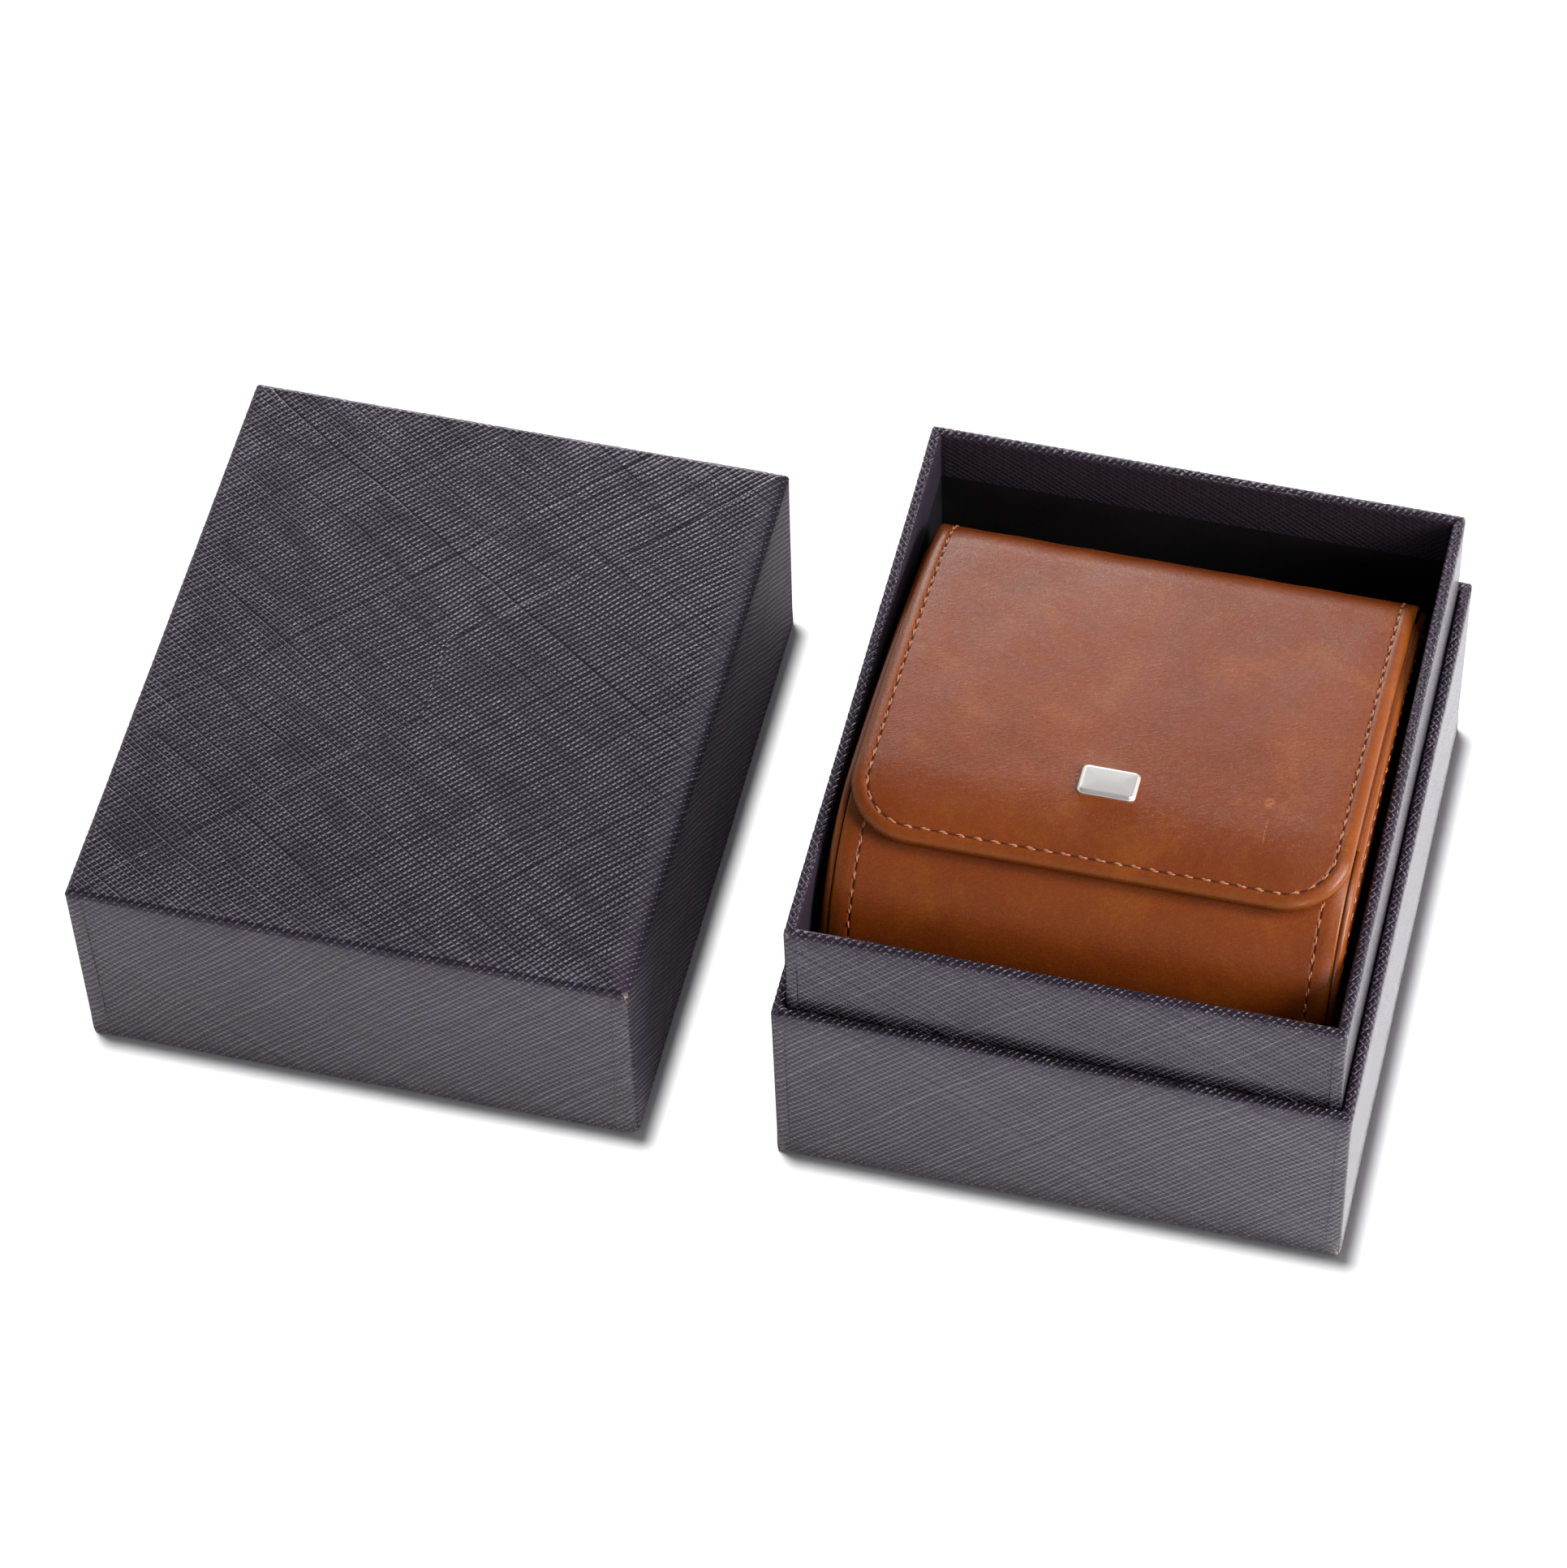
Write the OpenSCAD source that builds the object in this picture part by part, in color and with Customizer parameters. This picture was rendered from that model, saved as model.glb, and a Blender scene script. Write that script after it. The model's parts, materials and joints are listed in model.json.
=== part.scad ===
// Presentation box with a lift-off lid, holding a leather travel case for one watch.
// Millimetres. The origin is the centre of the tray's underside, +X right, -Y front, +Z up.
// The side profile of the leather case is drawn in Y and Z, and extruded along X.

/* [Box] */
// Outer width of the tray and the lid, along X
box_w = 115; // [110:0.5:130]
// Outer depth of the tray and the lid, along Y
box_d = 135; // [128:0.5:150]
// Height of the tray
tray_h = 49; // [40:0.5:60]
// Height of the lid
lid_h = 49; // [40:0.5:60]
// How far the neck stands proud of the tray's rim
neck_proud = 24; // [14:0.5:30]
// Thickness of the rigid board
board_t = 1.7; // [1.4:0.1:2.2]
// Thickness of the covering paper
paper_t = 0.3; // [0.2:0.05:0.4]
// Air between the tray's wall and the neck, on each side
neck_gap = 0.2; // [0.1:0.05:0.4]
// How far the paper is turned in below a rim
turn_in_h = 13; // [8:0.5:18]
// Width of the paper turned under the tray
turn_under_w = 12; // [8:0.5:20]
// How far the bottom paper stays inside the tray's edges
bottom_inset = 1.5; // [1:0.25:3]
// Leg of the paper stays in the corners
stay_leg = 14; // [8:0.5:20]
// Foam pad under the case
floor_foam_t = 2.6; // [1.5:0.1:3]

// Slit between two neighbouring paper strips at a corner
strip_slit = 0.1; // [0.05:0.05:0.2]

/* [Lid beside the tray] */
// Gap between the tray and the lid that stands beside it
lid_side_gap = 28; // [20:0.5:60]
// How far the lid stands in front of the tray's centre
lid_forward = 2.5; // [-10:0.5:10]

/* [Travel case] */
// Height of the closed case
case_h = 77.3; // [70:0.1:84]
// Room between the case and the neck, on each side
side_gap = 2.0; // [1:0.1:4]
// Room in front of the case
front_gap = 5.4; // [4.4:0.1:8]
// Room behind the case
back_gap = 10.7; // [6:0.1:14]
// Clearance between the case and the floor pad
pad_gap = 0.2; // [0.1:0.05:0.4]
// Thickness of the leather
leather_t = 1.2; // [1:0.1:1.6]
// Thickness of the case's board
case_board_t = 1.5; // [1.2:0.1:2]
// Thickness of the suede lining
suede_t = 0.8; // [0.6:0.1:1.2]
// Thickness of the leather over each end panel
end_leather_t = 1.5; // [1:0.1:2]
// Step from the wrap down to the end panel's leather, all round
end_step = 0.5; // [0.3:0.1:1]
// Thickness of each end board
end_board_t = 2.2; // [1.5:0.1:3]
// Radius of the case's back top corner
back_top_r = 20; // [16:0.5:24]
// Radius of the case's front top corner
front_top_r = 30; // [27:0.5:36]
// Radius of the swell in the front panel
front_swell_r = 80; // [60:1:120]
// Radius of the front bottom corner
front_bottom_r = 17; // [10:0.5:20]
// Radius of the back bottom corner
back_bottom_r = 14; // [8:0.5:20]
// Height of the cradle's cavity floor above the case's own floor
cradle_floor = 9.5; // [6:0.5:14]
// Corner radius of the cradle's cavity
cavity_r = 8; // [4:0.5:14]
// Foam left behind the cavity
cradle_back_t = 11; // [9:0.5:16]
// Foam left at each side of the cavity
cradle_side_t = 2.6; // [2:0.1:5]

/* [Flap] */
// Thickness of the flap's board
flap_board_t = 1.0; // [0.6:0.1:1.4]
// How far the front of the body runs under the flap
lip_overlap = 18; // [12:0.5:24]
// Air between the flap and the body below it
lip_gap = 0.4; // [0.3:0.05:0.8]
// Outer radius of the flap's front corners
flap_corner_r = 13; // [8:0.5:18]
// Distance from the flap's edge to its stiffener
flap_rim = 5; // [4.4:0.1:8]
// Air between the flap's root and the body's back at the fold
fold_gap = 0.9; // [0.7:0.05:1.2]
// Thickness of the rounded bead at the flap's root, as a share of the leather's thickness
root_share = 0.8; // [0.6:0.05:0.9]

/* [Thread] */
// Length of one stitch
stitch_l = 2.5; // [1.5:0.1:3]
// Distance from one stitch to the next
stitch_pitch = 3.44; // [3.2:0.02:5]
// Width of the thread
thread_w = 0.7; // [0.5:0.05:1]
// Height of the thread above the leather
thread_h = 0.35; // [0.2:0.05:0.6]
// Gap between thread and leather
thread_gap = 0.02; // [0.01:0.01:0.05]
// Distance from the flap's edge to its stitch line
flap_stitch_in = 3.2; // [2.5:0.1:4]
// Distance from the wrap's edge to its stitch line
wrap_stitch_in = 4.2; // [3:0.1:6]
// Distance from the end panel's rim to its stitch line
end_stitch_in = 3.0; // [2:0.1:5]

/* [Badge and magnets] */
// Width of the plain badge
badge_w = 11.5; // [8:0.5:16]
// Depth of the plain badge
badge_d = 7.5; // [5:0.5:10]
// Height of the badge above the leather
badge_t = 0.8; // [0.5:0.1:1.2]
// Corner radius of the badge
badge_r = 1.5; // [0.5:0.1:2.4]
// Distance from the flap's edge to the badge's middle
badge_back = 20; // [18:0.5:30]
// Radius of the badge's two prongs
prong_r = 0.6; // [0.4:0.05:0.8]
// Distance between the prongs
prong_pitch = 6; // [4:0.5:6]
// Gap round each prong
prong_gap = 0.05; // [0.02:0.01:0.1]
// Thickness of the badge's backing washer
washer_t = 0.5; // [0.3:0.05:0.55]
// Length of each closing magnet, along X
magnet_w = 20; // [10:0.5:30]
// Breadth of each closing magnet
magnet_d = 5; // [4:0.25:6]
// Distance from the flap's edge to the magnets' middle
magnet_back = 10; // [9:0.25:11]
// Share of the flap board's thickness that a magnet takes up
magnet_share = 0.7; // [0.5:0.05:0.8]

/* [Cushion] */
// Room round the cushion in its cavity
cushion_gap = 3.5; // [2.5:0.1:6]
// Height of the cushion
cushion_h = 47; // [36:0.5:48]
// Clearance between the cushion and the cavity's floor
cushion_rest = 0.3; // [0.2:0.05:0.5]
// Thickness of the cushion's cover
cover_t = 1.2; // [0.8:0.1:2]
// Thickness of each end cap
cap_t = 2; // [1.5:0.1:4]
// How much the cushion's ends are drawn in
draw_in = 3; // [1:0.25:5]
// Depth of the sewn seam near each end
seam_depth = 0.7; // [0.3:0.1:0.8]
// Distance from each end to its seam
seam_in = 9; // [6:0.5:14]
// Width of the dip at each sewn seam
seam_w = 1.6; // [1:0.1:3]

/* [Hidden] */

// Colours, as the photograph shows them.
paper_colour = [0.24, 0.23, 0.26];
rim_colour = [0.13, 0.13, 0.14];
board_colour = [0.45, 0.43, 0.40];
black_colour = [0.05, 0.05, 0.055];
leather_colour = [0.55, 0.30, 0.17];
suede_colour = [0.36, 0.22, 0.14];
thread_colour = [0.76, 0.48, 0.33];
foam_colour = [0.62, 0.60, 0.58];
metal_colour = [0.80, 0.79, 0.78];

// Facets of a full round, and steps along each arc of the side profile.
ROUND = 48;
ARC_STEPS = 10;
FULL_TURN = 360;
CUT = 1;
CUT_SKIN = 0.5;
NEAR = 0.001;

// ---- Box sizes worked out from the driving dimensions ----
half_w = box_w / 2;
half_d = box_d / 2;
// The tray's wall: wrap, board and turned-in paper.
tray_wall = board_t + 2 * paper_t;
neck_in = tray_wall + neck_gap;
neck_wall = board_t + 2 * paper_t;
neck_inner_in = neck_in + neck_wall;
tray_floor_z = 2 * paper_t + board_t;
neck_top = tray_h + neck_proud;
floor_top = tray_floor_z + floor_foam_t + paper_t;
lid_x = -(box_w + lid_side_gap);
lid_y = -lid_forward;

// ---- Side profile of the case ----
// Angles are those of the outward normal: 0 is the back, 90 the top, 180 the front.
// Where the round of the back top corner runs into the long top.
TOP_START = 73.5;
// Where the long top runs into the round of the front top corner.
TOP_END = 84.5;
// Where the flap ends on the front top corner.
FLAP_END = 118;
// Where the front top corner runs into the swell of the front.
SWELL_START = 165;
// Where the flap is hinged, halfway round the back top corner.
FOLD = 37;
// Steps along the back top corner from the hinge to where the flap's lining begins.
LINING_STEP = 2;

flap_t = leather_t + flap_board_t + suede_t;
shell_t = leather_t + case_board_t + suede_t;
body_drop = flap_t + lip_gap;

case_z = floor_top + pad_gap;
back_y = half_d - neck_inner_in - back_gap;
front_y = -half_d + neck_inner_in + front_gap;
case_half_w = half_w - neck_inner_in - side_gap;
shell_half_w = case_half_w - end_leather_t;

body_top_r = front_top_r - body_drop;
r1 = back_top_r;
r3 = front_top_r;
c1_y = back_y - r1;
c3_y = front_y + front_swell_r - (body_top_r - front_swell_r) * cos(SWELL_START);
r2 = (c3_y - c1_y - r1 * cos(TOP_START) + r3 * cos(TOP_END)) / (cos(TOP_END) - cos(TOP_START));
c3_z = case_z + case_h - r3;
c1_z = c3_z - (r1 - r2) * sin(TOP_START) - (r2 - r3) * sin(TOP_END);
c2_y = c1_y + (r1 - r2) * cos(TOP_START);
c2_z = c1_z + (r1 - r2) * sin(TOP_START);
c4_y = front_y + front_swell_r;
c4_z = c3_z + (body_top_r - front_swell_r) * sin(SWELL_START);

// Length along the top from the start of its long curve, positive to the front.
function arc_len(r, a) = r * a * PI / 180;
function arc_deg(r, s) = s * 180 / (PI * r);
top_l = arc_len(r2, TOP_END - TOP_START);
flap_end_s = top_l + arc_len(r3, FLAP_END - TOP_END);
swell_s = top_l + arc_len(r3, SWELL_START - TOP_END);
fold_s = -arc_len(r1, TOP_START - FOLD);
lining_s = fold_s * (1 - LINING_STEP / ARC_STEPS);
lip_s = flap_end_s - lip_overlap;

// Normal's angle at length s, and the point there, d below the flap's outer face.
function top_deg(s) =
  s < 0 ? TOP_START + arc_deg(r1, s)
  : s < top_l ? TOP_START + arc_deg(r2, s)
  : TOP_END + arc_deg(r3, s - top_l);
function on_arc(cy, cz, r, a) = [cy + r * cos(a), cz + r * sin(a)];
function top_pt(s, d) =
  s < 0 ? on_arc(c1_y, c1_z, r1 - d, top_deg(s))
  : s < top_l ? on_arc(c2_y, c2_z, r2 - d, top_deg(s))
  : on_arc(c3_y, c3_z, r3 - d, top_deg(s));

// Points on the top between two lengths. Every layer uses the same steps round the back.
function steps(a, b, n) = [for (i = [0 : n]) a + (b - a) * i / n];
function span(a, b, lo, hi) =
  let (p = max(a, lo), q = min(b, hi))
  p < q ? steps(p, q, ARC_STEPS) : [];
function top_s(a, b) = concat(
  [for (s = steps(fold_s, 0, ARC_STEPS)) if (s > a - NEAR && s < b + NEAR) s],
  [for (s = span(a, b, 0, top_l)) if (s > NEAR) s],
  [for (s = span(a, b, top_l, swell_s)) if (s > max(a, top_l)) s]
);
function top_line(a, b, d) = [for (s = top_s(a, b)) top_pt(s, d)];
function reversed(v) = [for (i = [len(v) - 1 : -1 : 0]) v[i]];
function arc_line(cy, cz, r, a, b) = [for (t = steps(a, b, ARC_STEPS)) on_arc(cy, cz, r, t)];

// Angles up the back top corner, the same for every layer of the shell.
BOARD_END = 22;
LINING_END = 30;
BACK_STEPS = 15;
function back_angles(end_a) = concat(
  [for (t = steps(0, LINING_END, BACK_STEPS)) if (t < end_a - NEAR) t],
  [end_a]
);

// The body's own line from the swell of the front, round the bottom, to the back top corner.
// It is d inside the body's outer face.
function round_line(d, end_a) = concat(
  arc_line(c4_y, c4_z, front_swell_r - d, SWELL_START, 180),
  arc_line(front_y + front_bottom_r, case_z + front_bottom_r, front_bottom_r - d, 180, 270),
  arc_line(back_y - back_bottom_r, case_z + back_bottom_r, back_bottom_r - d, 270, 360),
  [for (t = back_angles(end_a)) on_arc(c1_y, c1_z, r1 - d, t)]
);
function lip_line(d) = top_line(lip_s, swell_s, body_drop + d);
// The whole line of the body's shell, from the front lip to the back.
function body_line(d, end_a) = concat(lip_line(d), round_line(d, end_a));

// The back of the shell stops below the fold, on the outside lower than on the inside.
FOLD_RELIEF = 2.2;
wrap_end_out = FOLD - arc_deg(r1, fold_gap * FOLD_RELIEF);
wrap_end_in = FOLD - arc_deg(r1, fold_gap);

module along_x(x0, x1) {
  translate([x0, 0, 0])
    rotate([90, 0, 90])
      linear_extrude(x1 - x0)
        children();
}

// A layer of the body's shell between depths d0 and d1.
module shell_layer(d0, d1, end_out, end_in) {
  along_x(-shell_half_w, shell_half_w)
    polygon(concat(body_line(d0, end_out), reversed(body_line(d1, end_in))));
}

// A layer of the flap between depths d0 and d1 and lengths s0 and s1.
module flap_layer(d0, d1, s0, s1, inset) {
  along_x(-shell_half_w + inset, shell_half_w - inset)
    polygon(concat(top_line(s0, s1, d0), reversed(top_line(s0, s1, d1))));
}

// The flap's plan: square at the fold, round at its two front corners.
module flap_plan(inset) {
  hw = shell_half_w - inset;
  r = max(flap_corner_r - inset, CUT);
  front = top_pt(flap_end_s, 0)[0] + inset;
  translate([0, 0, c1_z])
    linear_extrude(case_h) {
      translate([-hw, front + r])
        square([2 * hw, back_y - front]);
      translate([-hw + r, front])
        square([2 * (hw - r), 2 * r]);
      for (side = [-1, 1])
        translate([side * (hw - r), front + r])
          circle(r, $fn = ROUND);
    }
}

// Puts what follows on the flap at length s, depth d, with +Z along the outward normal.
module on_flap(s, d) {
  p = top_pt(s, d);
  translate([0, p[0], p[1]])
    rotate([top_deg(s) - 90, 0, 0])
      children();
}

// One straight wall frame: outer size w by d, wall t, from z0 to z1, less inset on all sides.
module frame_ring(inset, t, z0, z1) {
  w = box_w - 2 * inset;
  d = box_d - 2 * inset;
  translate([0, 0, z0])
    linear_extrude(z1 - z0)
      difference() {
        square([w, d], center = true);
        square([w - 2 * t, d - 2 * t], center = true);
      }
}

module sheet(inset, z0, z1) {
  translate([0, 0, z0])
    linear_extrude(z1 - z0)
      square([box_w - 2 * inset, box_d - 2 * inset], center = true);
}

// One paper strip folded over a rim along X: across the wall's edge, then in_h along its inside.
// It runs len long, its outer edge on Y = 0, the rim on Z = 0 and the fold downwards.
module turned_strip(len, leg_len, wall, in_h) {
  translate([-len / 2, 0, -paper_t])
    cube([len, wall, paper_t]);
  translate([-leg_len / 2, wall - paper_t, -in_h])
    cube([leg_len, paper_t, in_h]);
}

// The four strips round a rim that is inset from the outside.
module turned_strips(inset, wall, in_h) {
  w = box_w - 2 * inset;
  d = box_d - 2 * inset;
  side_len = d - 2 * wall - 2 * strip_slit;
  for (turn = [0, 180])
    rotate([0, 0, turn]) {
      translate([0, -d / 2, 0])
        turned_strip(w, w - 2 * (wall - paper_t), wall, in_h);
      rotate([0, 0, 90])
        translate([0, -w / 2, 0])
          turned_strip(side_len, side_len, wall, in_h);
    }
}

// Four paper angles against the inside of a wall that is inset from the outside.
module corner_angles(inset, z0, z1) {
  w = half_w - inset;
  d = half_d - inset;
  for (sx = [-1, 1], sy = [-1, 1])
    scale_to_corner(sx, sy)
      translate([0, 0, z0])
        linear_extrude(z1 - z0)
          difference() {
            translate([w - stay_leg, d - stay_leg])
              square(stay_leg);
            translate([w - stay_leg - CUT, d - stay_leg - CUT])
              square(stay_leg - paper_t + CUT);
          }
}

module scale_to_corner(sx, sy) {
  mirror([sx < 0 ? 1 : 0, 0, 0])
    mirror([0, sy < 0 ? 1 : 0, 0])
      children();
}

// ---- Tray ----
module base_board() {
  color(board_colour)
    union() {
      frame_ring(paper_t, board_t, 2 * paper_t, tray_h - paper_t);
      sheet(paper_t, 2 * paper_t, tray_floor_z);
    }
}

module base_wrap() {
  color(paper_colour)
    union() {
      frame_ring(0, paper_t, paper_t, tray_h - paper_t);
      frame_ring(0, turn_under_w, paper_t, 2 * paper_t);
    }
}

module base_turn_ins() {
  color(rim_colour)
    translate([0, 0, tray_h])
      turned_strips(0, tray_wall, turn_in_h);
}

module base_bottom_paper() {
  color(black_colour)
    sheet(bottom_inset, 0, paper_t);
}

module base_corner_stays() {
  color(foam_colour)
    corner_angles(paper_t + board_t, tray_floor_z, tray_h - turn_in_h);
}

// ---- Neck ----
module neck_board() {
  color(board_colour)
    frame_ring(neck_in + paper_t, board_t, tray_floor_z, neck_top - paper_t);
}

module neck_wrap() {
  color(paper_colour)
    frame_ring(neck_in, paper_t, tray_floor_z, neck_top - paper_t);
}

module neck_turn_ins() {
  color(rim_colour)
    translate([0, 0, neck_top])
      turned_strips(neck_in, neck_wall, turn_in_h);
}

module neck_lining() {
  color(black_colour)
    frame_ring(neck_inner_in - paper_t, paper_t, tray_floor_z, neck_top - turn_in_h);
}

module floor_foam() {
  color(foam_colour)
    sheet(neck_inner_in, tray_floor_z, tray_floor_z + floor_foam_t);
}

module floor_paper() {
  color(black_colour)
    sheet(neck_inner_in, tray_floor_z + floor_foam_t, floor_top);
}

// ---- Lid, standing open side down beside the tray ----
module lid_board() {
  color(board_colour)
    translate([lid_x, lid_y, 0])
      union() {
        frame_ring(paper_t, board_t, paper_t, lid_h - paper_t);
        sheet(paper_t, lid_h - paper_t - board_t, lid_h - paper_t);
      }
}

module lid_wrap() {
  color(paper_colour)
    translate([lid_x, lid_y, 0])
      union() {
        frame_ring(0, paper_t, paper_t, lid_h);
        sheet(0, lid_h - paper_t, lid_h);
      }
}

module lid_turn_ins() {
  color(rim_colour)
    translate([lid_x, lid_y, 0])
      mirror([0, 0, 1])
        turned_strips(0, tray_wall, turn_in_h);
}

module lid_lining() {
  under = lid_h - paper_t - board_t;
  color(black_colour)
    translate([lid_x, lid_y, 0])
      union() {
        frame_ring(tray_wall - paper_t, paper_t, turn_in_h, under);
        sheet(tray_wall - paper_t, under - paper_t, under);
      }
}

// ---- Travel case: shell ----
// The magnets are flat bars in bowed boards, so each board's bow is left free above its bar.
function bow(r) = r - sqrt(pow(r, 2) - pow(magnet_d / 2, 2));
magnet_t = magnet_share * (flap_board_t - bow(r3 - leather_t));

// A magnet in the middle of the board that lies layer_d below the flap's outer face.
module magnet_pocket(layer_d, layer_t) {
  on_flap(flap_end_s - magnet_back, layer_d + (layer_t + bow(r3 - layer_d) - magnet_t) / 2)
    translate([-magnet_w / 2, -magnet_d / 2, -magnet_t])
      cube([magnet_w, magnet_d, magnet_t]);
}

module case_wrap() {
  color(leather_colour)
    shell_layer(0, leather_t, wrap_end_out, wrap_end_in);
}

module case_board() {
  color(board_colour)
    difference() {
      shell_layer(leather_t, leather_t + case_board_t, BOARD_END, BOARD_END);
      magnet_pocket(body_drop + leather_t, case_board_t);
    }
}

module case_lining() {
  color(suede_colour)
    shell_layer(leather_t + case_board_t, shell_t, LINING_END, LINING_END);
}

module case_magnet() {
  color(metal_colour)
    magnet_pocket(body_drop + leather_t, case_board_t);
}

// ---- Travel case: ends ----
// Outline of an end panel d inside the shell's outer face, its top just under the flap.
module end_outline(d, top_d) {
  polygon(concat(
    lip_line(d),
    round_line(d, LINING_END),
    top_line(lining_s, lip_s, body_drop + top_d)
  ));
}

module end_leather(side) {
  color(leather_colour)
    mirror([side < 0 ? 1 : 0, 0, 0])
      along_x(shell_half_w, case_half_w)
        end_outline(end_step, end_step);
}

module end_board(side) {
  color(board_colour)
    mirror([side < 0 ? 1 : 0, 0, 0])
      along_x(shell_half_w - end_board_t, shell_half_w)
        end_outline(shell_t, end_step);
}

module end_lining(side) {
  x1 = shell_half_w - end_board_t;
  color(suede_colour)
    mirror([side < 0 ? 1 : 0, 0, 0])
      along_x(x1 - suede_t, x1)
        end_outline(shell_t, end_step);
}

module end_board_left() {
  end_board(-1);
}

module end_board_right() {
  end_board(1);
}

module end_leather_left() {
  end_leather(-1);
}

module end_leather_right() {
  end_leather(1);
}

module end_lining_left() {
  end_lining(-1);
}

module end_lining_right() {
  end_lining(1);
}

// ---- Travel case: cradle ----
cradle_half_w = shell_half_w - end_board_t - suede_t;
cavity_half_w = cradle_half_w - cradle_side_t - suede_t;
cavity_front = top_pt(lip_s, 0)[0] + suede_t;
cavity_back = back_y - shell_t - cradle_back_t + suede_t;
cavity_z = case_z + shell_t + cradle_floor;

// The cavity's solid, grown by g all round, up past the top of the case.
module cavity(g, z0) {
  r = cavity_r + g;
  hw = cavity_half_w + g;
  y0 = cavity_front - g;
  y1 = cavity_back + g;
  translate([0, 0, z0])
    linear_extrude(case_h) {
      translate([-hw, y0 + r])
        square([2 * hw, y1 - y0 - 2 * r]);
      translate([-hw + r, y0])
        square([2 * (hw - r), y1 - y0]);
      for (x = [-hw + r, hw - r], y = [y0 + r, y1 - r])
        translate([x, y])
          circle(r, $fn = ROUND);
    }
}

// The room inside the shell and the end panels.
module cradle_block() {
  along_x(-cradle_half_w, cradle_half_w)
    end_outline(shell_t, shell_t);
}

module cradle_foam() {
  color(foam_colour)
    difference() {
      cradle_block();
      cavity(suede_t, cavity_z - suede_t);
    }
}

module cradle_suede() {
  color(suede_colour)
    intersection() {
      cradle_block();
      difference() {
        cavity(suede_t, cavity_z - suede_t);
        cavity(0, cavity_z);
      }
    }
}

// ---- Flap ----
module badge_prongs(r, depth) {
  for (side = [-1, 1])
    translate([side * prong_pitch / 2, 0, -depth])
      cylinder(h = depth, r = r, $fn = ROUND);
}

module flap_leather() {
  color(leather_colour)
    difference() {
      intersection() {
        union() {
          flap_layer(0, leather_t, fold_s, flap_end_s, 0);
          flap_layer(leather_t, leather_t + flap_board_t, lining_s, flap_end_s, 0);
          flap_root();
        }
        flap_plan(0);
      }
      flap_core();
      on_flap(flap_end_s - badge_back, 0)
        translate([0, 0, CUT])
          badge_prongs(prong_r + prong_gap, leather_t + CUT + CUT_SKIN);
    }
}

// The rounded root of the flap, on the hinge's axis.
module flap_root() {
  p = top_pt(fold_s, leather_t / 2);
  translate([-shell_half_w, p[0], p[1]])
    rotate([0, 90, 0])
      cylinder(h = 2 * shell_half_w, r = root_share * leather_t / 2, $fn = ROUND);
}

// The stiffener's space inside the flap's leather.
module flap_core() {
  intersection() {
    flap_layer(leather_t, leather_t + flap_board_t, 0, flap_end_s, flap_rim);
    flap_plan(flap_rim);
  }
}

module flap_board() {
  washer_d = leather_t;
  color(board_colour)
    difference() {
      flap_core();
      magnet_pocket(leather_t, flap_board_t);
      on_flap(flap_end_s - badge_back, washer_d)
        translate([-badge_w / 2, -badge_d / 2, -flap_board_t - CUT])
          cube([badge_w, badge_d, flap_board_t + 2 * CUT]);
    }
}

module flap_lining() {
  color(suede_colour)
    intersection() {
      flap_layer(leather_t + flap_board_t, flap_t, lining_s, flap_end_s, 0);
      flap_plan(0);
    }
}

module flap_magnet() {
  color(metal_colour)
    magnet_pocket(leather_t, flap_board_t);
}

module badge_plate() {
  hw = badge_w / 2 - badge_r;
  hd = badge_d / 2 - badge_r;
  color(metal_colour)
    on_flap(flap_end_s - badge_back, 0)
      union() {
        translate([0, 0, thread_gap])
          linear_extrude(badge_t) {
            square([badge_w, 2 * hd], center = true);
            square([2 * hw, badge_d], center = true);
            for (x = [-hw, hw], y = [-hd, hd])
              translate([x, y])
                circle(badge_r, $fn = ROUND);
          }
        translate([0, 0, badge_t / 2])
          badge_prongs(prong_r, leather_t + washer_t + prong_gap + badge_t / 2);
      }
}

module badge_washer() {
  color(metal_colour)
    on_flap(flap_end_s - badge_back, leather_t + prong_gap)
      difference() {
        translate([-badge_w / 2 + prong_gap, -badge_d / 2 + prong_gap, -washer_t])
          cube([badge_w - 2 * prong_gap, badge_d - 2 * prong_gap, washer_t]);
        translate([0, 0, CUT])
          badge_prongs(prong_r + prong_gap, washer_t + 2 * CUT);
      }
}

// ---- Thread ----
// One stitch along the local X axis, its underside thread_gap above the leather.
module stitch() {
  translate([-stitch_l / 2, -thread_w / 2, thread_gap])
    cube([stitch_l, thread_w, thread_h]);
}

module flap_stitches() {
  side_x = shell_half_w - flap_stitch_in;
  corner_r = flap_corner_r - flap_stitch_in;
  front_s = flap_end_s - flap_stitch_in;
  corner_s = front_s - corner_r;
  side_n = floor(corner_s / stitch_pitch);
  front_l = 2 * (side_x - corner_r);
  front_n = floor(front_l / stitch_pitch);
  turn_n = floor(arc_len(corner_r, 90) / stitch_pitch);
  color(thread_colour)
    for (side = [-1, 1]) {
      for (i = [0 : side_n])
        on_flap(corner_s - i * stitch_pitch, 0)
          translate([side * side_x, 0, 0])
            rotate([0, 0, 90])
              stitch();
      for (i = [1 : turn_n])
        let (a = 90 * i / (turn_n + 1))
          on_flap(corner_s + corner_r * sin(a), 0)
            translate([side * (side_x - corner_r + corner_r * cos(a)), 0, 0])
              rotate([0, 0, side * (90 - a)])
                stitch();
      for (i = [0 : floor(front_n / 2)])
        if (side > 0 || i > 0)
          on_flap(front_s, 0)
            translate([side * i * stitch_pitch, 0, 0])
              stitch();
    }
}

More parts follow.
